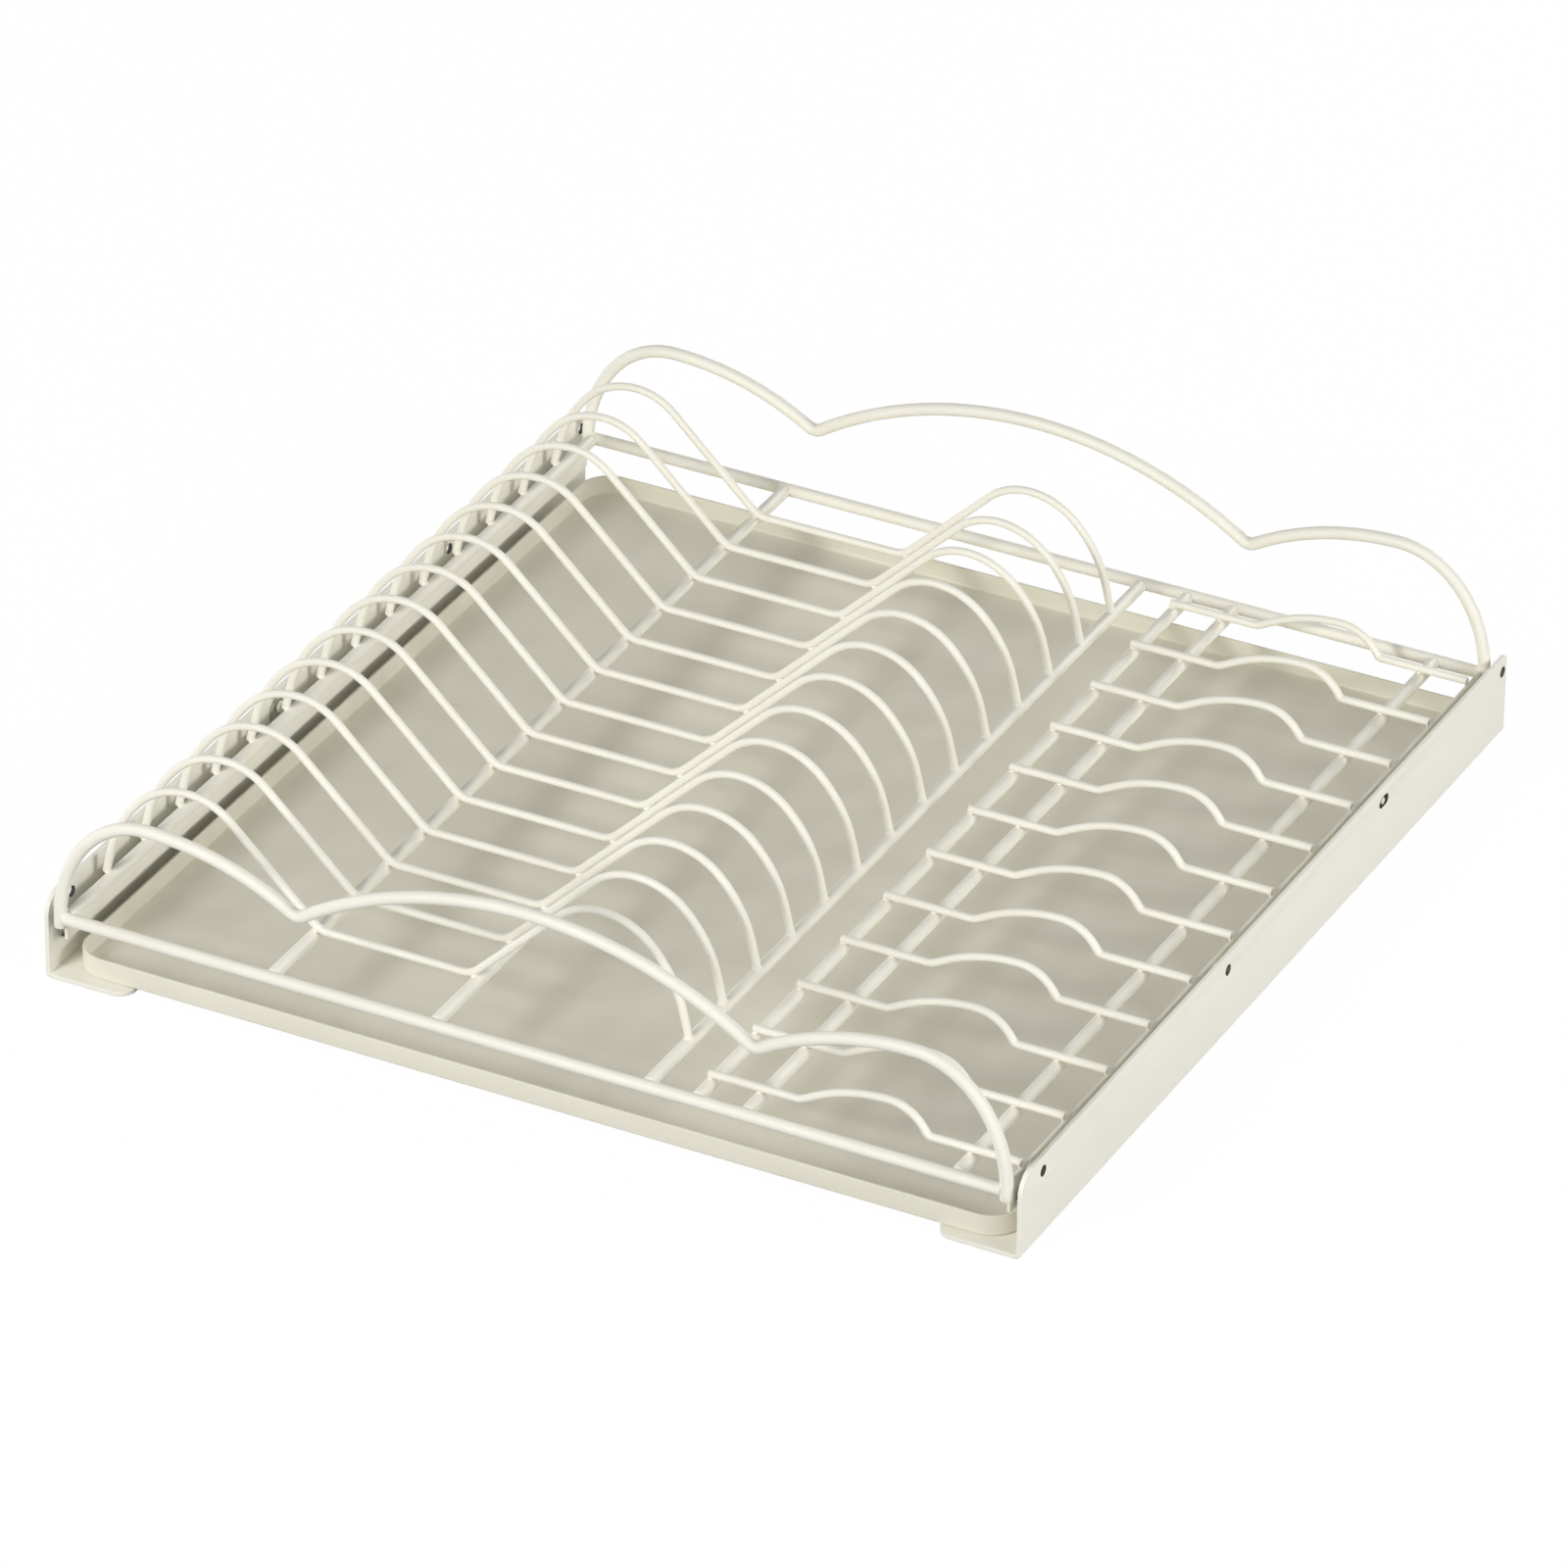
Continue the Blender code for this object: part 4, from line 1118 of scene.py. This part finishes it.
@dataclass
class BallSlides:
    """The two ball slides: outer and inner members, ball cages and their screws."""

    rack: Rack
    finishes: Finishes
    sheet: float = 0.8 * MM
    bend_radius: float = 0.9 * MM
    sides_body: str = "cabinet_sides"
    basket_body: str = "wire_basket"

    # Screw lug and punched holes
    lug_width: float = 12.0 * MM
    lug_corner: float = 3.0 * MM
    screw_hole_radius: float = 1.9 * MM
    punch_radius: float = 1.6 * MM
    punch_sides: int = 24
    punch_shares: tuple[float, ...] = (0.08, 0.3, 0.55, 0.8, 0.94)

    # Ball cages
    cage_sheet: float = 0.5 * MM
    ball: float = 2.0 * MM
    ball_count: int = 6
    ball_proud_share: float = 0.2
    ball_set_share: float = 0.45

    # Screws
    head_height: float = 1.3 * MM
    head_round_share: float = 0.6
    head_sides: int = 32
    head_soft_edge: float = 35.0
    shank_radius: float = 1.6 * MM
    shank_round: float = 0.35 * MM
    shank_sides: int = 24
    recess_depth: float = 0.5 * MM
    recess_length: float = 2.6 * MM
    recess_width: float = 0.6 * MM

    def build(self) -> None:
        """Build and dress both slides."""
        for side in Side:
            self.outer(side)
            self.inner(side)
            self.cage(side)
            self.screw(side)

    def finish(self, piece: Piece, body: str) -> None:
        """Dress a zinc piece that replaces the node of its own name."""
        Bench.smooth(piece)
        self.rack.dress(piece, body, "zinc_steel", self.finishes.zinc, piece.name.removesuffix(FINE))

    def channel(
        self, node: str, web_x: float, tip_x: float, low: Vector, high: Vector, sheet: float
    ) -> Piece:
        """Roll a C-shaped channel from thin sheet.

        Args:
            node: The node that it stands for.
            web_x: Outer face of the web.
            tip_x: End of both lips.
            low: Low corner in Y and Z.
            high: High corner in Y and Z.
            sheet: Thickness of the sheet.

        Returns:
            The channel.
        """
        channel = Bench.sheet(node + FINE, web_x, low, high)
        Bench.choose(channel, "EDGE", lambda mesh, edge: span(mesh, edge).z < TINY)
        bpy.ops.mesh.extrude_edges_move(TRANSFORM_OT_translate={"value": (tip_x - web_x, 0.0, 0.0)})
        Bench.leave()
        Bench.bevel(channel, "EDGE", lambda mesh, edge: span(mesh, edge).z < TINY and all(
            abs(co.x - web_x) < TINY for co in ends(mesh, edge)
        ), self.bend_radius, segments=5, profile=0.5)
        Bench.thicken(channel, sheet, web_x - tip_x)
        return channel

    def outer(self, side: Side) -> None:
        """Make the fixed member with its screw lug and punched holes."""
        node = "slide_outer_" + side.word
        low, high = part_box(node)
        screw = self.rack.middle("slide_screw_" + side.word)
        web_x = side.outermost(low, high)
        inner_low, inner_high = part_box("slide_inner_" + side.word)
        middle_z = (inner_low.z + inner_high.z) / 2
        top_z = 2 * middle_z - low.z
        rolled_high = Vector((high.x, high.y, top_z))
        member = self.channel(node, web_x, side.innermost(low, high), low, rolled_high, self.sheet)
        lug_foot = top_z - 2 * self.sheet
        sheet_x = web_x - side.value * self.sheet / 2
        lug_at = (sheet_x, screw.y, (high.z + lug_foot) / 2)
        lug = Bench.block(lug_at, (self.sheet, self.lug_width, high.z - lug_foot))
        Bench.bevel(lug, "EDGE", lambda mesh, edge: span(mesh, edge).x > self.sheet / 2 and all(
            co.z > lug_foot + self.sheet for co in ends(mesh, edge)
        ), self.lug_corner, segments=6, profile=0.5)
        Bench.unite(member, [lug])
        holes = [(screw.y, screw.z, self.screw_hole_radius)]
        for share in self.punch_shares:
            holes.append((low.y + share * (high.y - low.y), middle_z, self.punch_radius))
        punches = [Bench.rod((sheet_x, hole_y, hole_z), radius, 4 * self.sheet, self.punch_sides)
                   for hole_y, hole_z, radius in holes]
        Bench.unite(member, punches, "DIFFERENCE")
        self.finish(member, self.sides_body)

    def inner(self, side: Side) -> None:
        """Make the moving member that carries the basket's strip."""
        node = "slide_inner_" + side.word
        low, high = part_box(node)
        web_x, tip_x = side.innermost(low, high), side.outermost(low, high)
        self.finish(self.channel(node, web_x, tip_x, low, high, self.sheet), self.basket_body)

    def cage(self, side: Side) -> None:
        """Make the thin cage and its two rows of balls."""
        node = "ball_cage_" + side.word
        low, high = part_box(node)
        web_x, tip_x = side.outermost(low, high), side.innermost(low, high)
        rim = self.ball * self.ball_proud_share
        cage_low = Vector((low.x, low.y, low.z + rim))
        cage_high = Vector((high.x, high.y, high.z - rim))
        cage = self.channel(node, web_x, tip_x, cage_low, cage_high, self.cage_sheet)
        ball_x = tip_x + (web_x - tip_x) * self.ball_set_share
        length = high.y - low.y
        balls = []
        for index in range(self.ball_count):
            ball_y = low.y + length * (index + 0.5) / self.ball_count
            for ball_z in (low.z + self.ball / 2, high.z - self.ball / 2):
                balls.append(Bench.start(
                    bpy.ops.mesh.primitive_uv_sphere_add, segments=20, ring_count=12, radius=self.ball / 2,
                    location=(ball_x, ball_y, ball_z),
                ))
        Bench.unite(cage, balls)
        self.finish(cage, side.word + "_cage")

    def screw(self, side: Side) -> None:
        """Make the pan-head screw with its cross recess."""
        node = "slide_screw_" + side.word
        low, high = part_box(node)
        middle = (low + high) / 2
        head_x, end_x = side.innermost(low, high), side.outermost(low, high)
        head_at = (head_x + side.value * self.head_height / 2, middle.y, middle.z)
        head = Bench.rod(head_at, (high.z - low.z) / 2, self.head_height, self.head_sides, node + FINE)
        Bench.bevel(head, "EDGE", lambda mesh, edge: all(
            abs(co.x - head_x) < TINY for co in ends(mesh, edge)
        ), self.head_height * self.head_round_share, segments=5, profile=0.5)
        shank = abs(end_x - head_x) - self.head_height / 2
        stem_at = (end_x - side.value * shank / 2, middle.y, middle.z)
        stem = Bench.rod(stem_at, self.shank_radius, shank, self.shank_sides)
        Bench.bevel(stem, "EDGE", lambda mesh, edge: all(
            abs(co.x - end_x) < TINY for co in ends(mesh, edge)
        ), self.shank_round, segments=2)
        Bench.unite(head, [stem])
        at, through = (head_x, middle.y, middle.z), 2 * self.recess_depth
        recess = Bench.block(at, (through, self.recess_length, self.recess_width))
        Bench.unite(recess, [Bench.block(at, (through, self.recess_width, self.recess_length))])
        Bench.unite(head, [recess], "DIFFERENCE")
        Bench.smooth(head, self.head_soft_edge)
        self.rack.dress(head, self.sides_body, "cream_coat", self.finishes.coat, node)


@dataclass
class DripTray:
    """The shallow moulded tray with round corners and a rolled rim."""

    rack: Rack
    finishes: Finishes
    wall: float = 1.4 * MM
    floor: float = 1.2 * MM
    corner: float = 15.0 * MM
    foot_round: float = 1.0 * MM
    rim_round: float = 0.4 * MM
    level_cosine: float = 0.9
    rim_cosine: float = 0.5
    body: str = "tray"

    def build(self) -> None:
        """Mould and dress the tray."""
        low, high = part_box("drip_tray")
        tray = Bench.block((low + high) / 2, high - low, "drip_tray" + FINE)
        Bench.bevel(tray, "EDGE", lambda mesh, edge: span(mesh, edge).z > self.wall,
                    self.corner, segments=14, profile=0.5)
        Bench.choose(tray, "FACE", lambda mesh, face: face.normal.z > self.level_cosine)
        bpy.ops.mesh.inset(thickness=self.wall, depth=0.0)
        depth = high.z - low.z - self.floor
        bpy.ops.mesh.extrude_region_move(TRANSFORM_OT_translate={"value": (0.0, 0.0, -depth)})
        self.ease_loop()
        Bench.choose(tray, "FACE", lambda mesh, face: face.normal.z < -self.level_cosine)
        self.ease_loop()
        rim_foot = high.z - self.wall / 4
        Bench.bevel(tray, "EDGE", lambda mesh, edge: all(
            co.z > rim_foot for co in ends(mesh, edge)
        ) and self.rim_edge(mesh, edge), self.rim_round, segments=4, profile=0.5)
        Bench.mend(tray)
        Bench.smooth(tray)
        self.rack.dress(tray, self.body, "tray_plastic", self.finishes.plastic, "drip_tray")

    def ease_loop(self) -> None:
        """Round the outline of the chosen floor face, and leave edit mode."""
        bpy.ops.mesh.region_to_loop()
        bpy.ops.mesh.bevel(offset=self.foot_round, segments=5, profile=0.5)
        Bench.leave()

    def rim_edge(self, mesh: Mesh, edge: bpy.types.MeshEdge) -> bool:
        """Return whether an edge runs along the rim, and not across it."""
        beside = [face for face in mesh.polygons if edge.key in face.edge_keys]
        return len(beside) == 2 and beside[0].normal.dot(beside[1].normal) < self.rim_cosine


@dataclass(frozen=True)
class SoftBox:
    """A rectangular lamp: where it hangs, how large it is, and the light it gives a facing white sheet."""

    name: str
    toward: Triple
    size: tuple[float, float]
    level: float


@dataclass
class Studio:
    """The photographer's set: a white floor, soft lamps and a long lens."""

    aim: Triple = (-2.72 * MM, 0.95 * MM, 33.5 * MM)
    azimuth: float = math.radians(26.949)
    elevation: float = math.radians(31.007)
    roll: float = math.radians(0.74)
    distance: float = 4904.2 * MM
    lens: float = 259.5
    sensor: float = 36.0
    far_clip: float = 100.0
    floor_size: float = 40.0
    floor_drop: float = 0.2 * MM
    floor_colour: tuple[float, float, float, float] = (0.35, 0.35, 0.35, 1.0)
    floor_roughness: float = 0.9
    glow_level: float = 1.05
    glow_share: float = 0.93
    lamp_distance: float = 3.0
    world_level: float = 0.21

    # A key and a low front box, a large fill at the right, a box at the left and one behind
    boxes: tuple[SoftBox, ...] = (
        SoftBox("key", (-0.289, -0.814, 0.504), (0.80, 0.42), 0.34),
        SoftBox("front", (-0.20, -0.92, 0.34), (1.0, 0.5), 0.34),
        SoftBox("fill", (0.95, -0.10, 0.28), (1.3, 1.2), 0.60),
        SoftBox("left", (-0.97, 0.1, 0.22), (1.6, 1.2), 0.22),
        SoftBox("rear", (0.1, 0.97, 0.22), (1.6, 1.2), 0.36),
    )

    def build(self) -> None:
        """Set up the camera, the floor, the lamps and the world."""
        self.camera()
        self.floor()
        self.lamps()
        self.world()
        bpy.context.scene.view_settings.view_transform = "Standard"

    def camera(self) -> None:
        """Place the camera at the photograph's viewing angle."""
        cos_a, sin_a = math.cos(self.azimuth), math.sin(self.azimuth)
        cos_e, sin_e = math.cos(self.elevation), math.sin(self.elevation)
        back = Vector((sin_a * cos_e, -cos_a * cos_e, sin_e))
        right = Vector((cos_a, sin_a, 0.0))
        up = back.cross(right)
        cos_r, sin_r = math.cos(self.roll), math.sin(self.roll)
        across = right * cos_r + up * sin_r
        upright = up * cos_r - right * sin_r
        turn = Matrix((across, upright, back)).transposed()
        data = bpy.data.cameras.new("camera")
        data.lens = self.lens
        data.sensor_width = self.sensor
        data.clip_end = self.far_clip
        camera = bpy.data.objects.new("camera", data)
        bpy.context.scene.collection.objects.link(camera)
        camera.matrix_world = Matrix.Translation(Vector(self.aim) + back * self.distance) @ turn.to_4x4()
        bpy.context.scene.camera = camera

    @staticmethod
    def seen(tree: Tree) -> Socket:
        """Return 1 for a ray that comes from the camera, a gloss or a clear piece, and 0 otherwise."""
        path = add_node(tree, "LightPath", {})
        value = path.outputs["Is Camera Ray"]
        for other in ("Is Glossy Ray", "Is Transmission Ray"):
            inputs = {0: value, 1: path.outputs[other]}
            value = add_node(tree, "Math", inputs, operation="MAXIMUM").outputs["Value"]
        return value

    def floor(self) -> None:
        """Lay a white floor that keeps the rack's shadow but shows white to the camera."""
        bpy.ops.mesh.primitive_plane_add(size=self.floor_size, location=(0.0, 0.0, -self.floor_drop))
        floor = bpy.context.active_object
        floor.name = "studio_floor"
        material = bpy.data.materials.new("studio_white")
        material.use_nodes = True
        tree = material.node_tree
        shader = tree.nodes["Principled BSDF"]
        fill(tree, shader, {"Base Color": self.floor_colour, "Roughness": self.floor_roughness})
        glow = add_node(tree, "Emission", {"Color": WHITE, "Strength": self.glow_level})
        share = add_node(tree, "Math", {0: self.seen(tree), 1: self.glow_share}, operation="MULTIPLY")
        self.blend(tree, share.outputs["Value"], shader, glow, "Material Output")
        floor.data.materials.append(material)

    @staticmethod
    def blend(tree: Tree, share: Socket, lit: bpy.types.Node, shown: bpy.types.Node, output: str) -> None:
        """Show one shader to the seen rays and another to the light.

        Args:
            tree: The node tree of a material or of the world.
            share: How much of the shown shader.
            lit: The shader that all other rays meet.
            shown: The shader that the seen rays meet.
            output: Name of the output node.
        """
        mixed = add_node(tree, "MixShader", {"Fac": share, 1: lit.outputs[0], 2: shown.outputs[0]})
        fill(tree, tree.nodes[output], {"Surface": mixed.outputs["Shader"]})

    def lamps(self) -> None:
        """Hang the lamps round the rack, each turned to it."""
        for box in self.boxes:
            data = bpy.data.lights.new(box.name + "_lamp", "AREA")
            data.shape = "RECTANGLE"
            data.size, data.size_y = box.size
            data.energy = box.level * math.pi ** 2 * self.lamp_distance ** 2
            lamp = bpy.data.objects.new(box.name + "_lamp", data)
            bpy.context.scene.collection.objects.link(lamp)
            toward = Vector(box.toward).normalized()
            lamp.location = Vector(self.aim) + toward * self.lamp_distance
            lamp.rotation_euler = toward.to_track_quat("Z", "Y").to_euler()

    def world(self) -> None:
        """Light the set evenly and show plain white behind it."""
        world = bpy.data.worlds.new("studio_world")
        bpy.context.scene.world = world
        world.use_nodes = True
        tree = world.node_tree
        base = tree.nodes["Background"]
        fill(tree, base, {"Color": WHITE, "Strength": self.world_level})
        bright = add_node(tree, "Background", {"Color": WHITE, "Strength": 1.0})
        self.blend(tree, self.seen(tree), base, bright, "World Output")


def corners(box: tuple[Vector, Vector]) -> list[list[float]]:
    """Turn a box into plain lists of numbers."""
    return [[float(value) for value in corner] for corner in box]


def main() -> None:
    """Build the rack in order."""
    logging.basicConfig(level=logging.INFO, format="%(message)s")
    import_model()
    rack = Rack()
    finishes = Finishes.mixed()
    Basket(rack, finishes).build()
    SidePlates(rack, finishes).build()
    BallSlides(rack, finishes).build()
    DripTray(rack, finishes).build()
    Studio().build()
    bpy.context.view_layer.update()


if __name__ == "__main__":
    main()
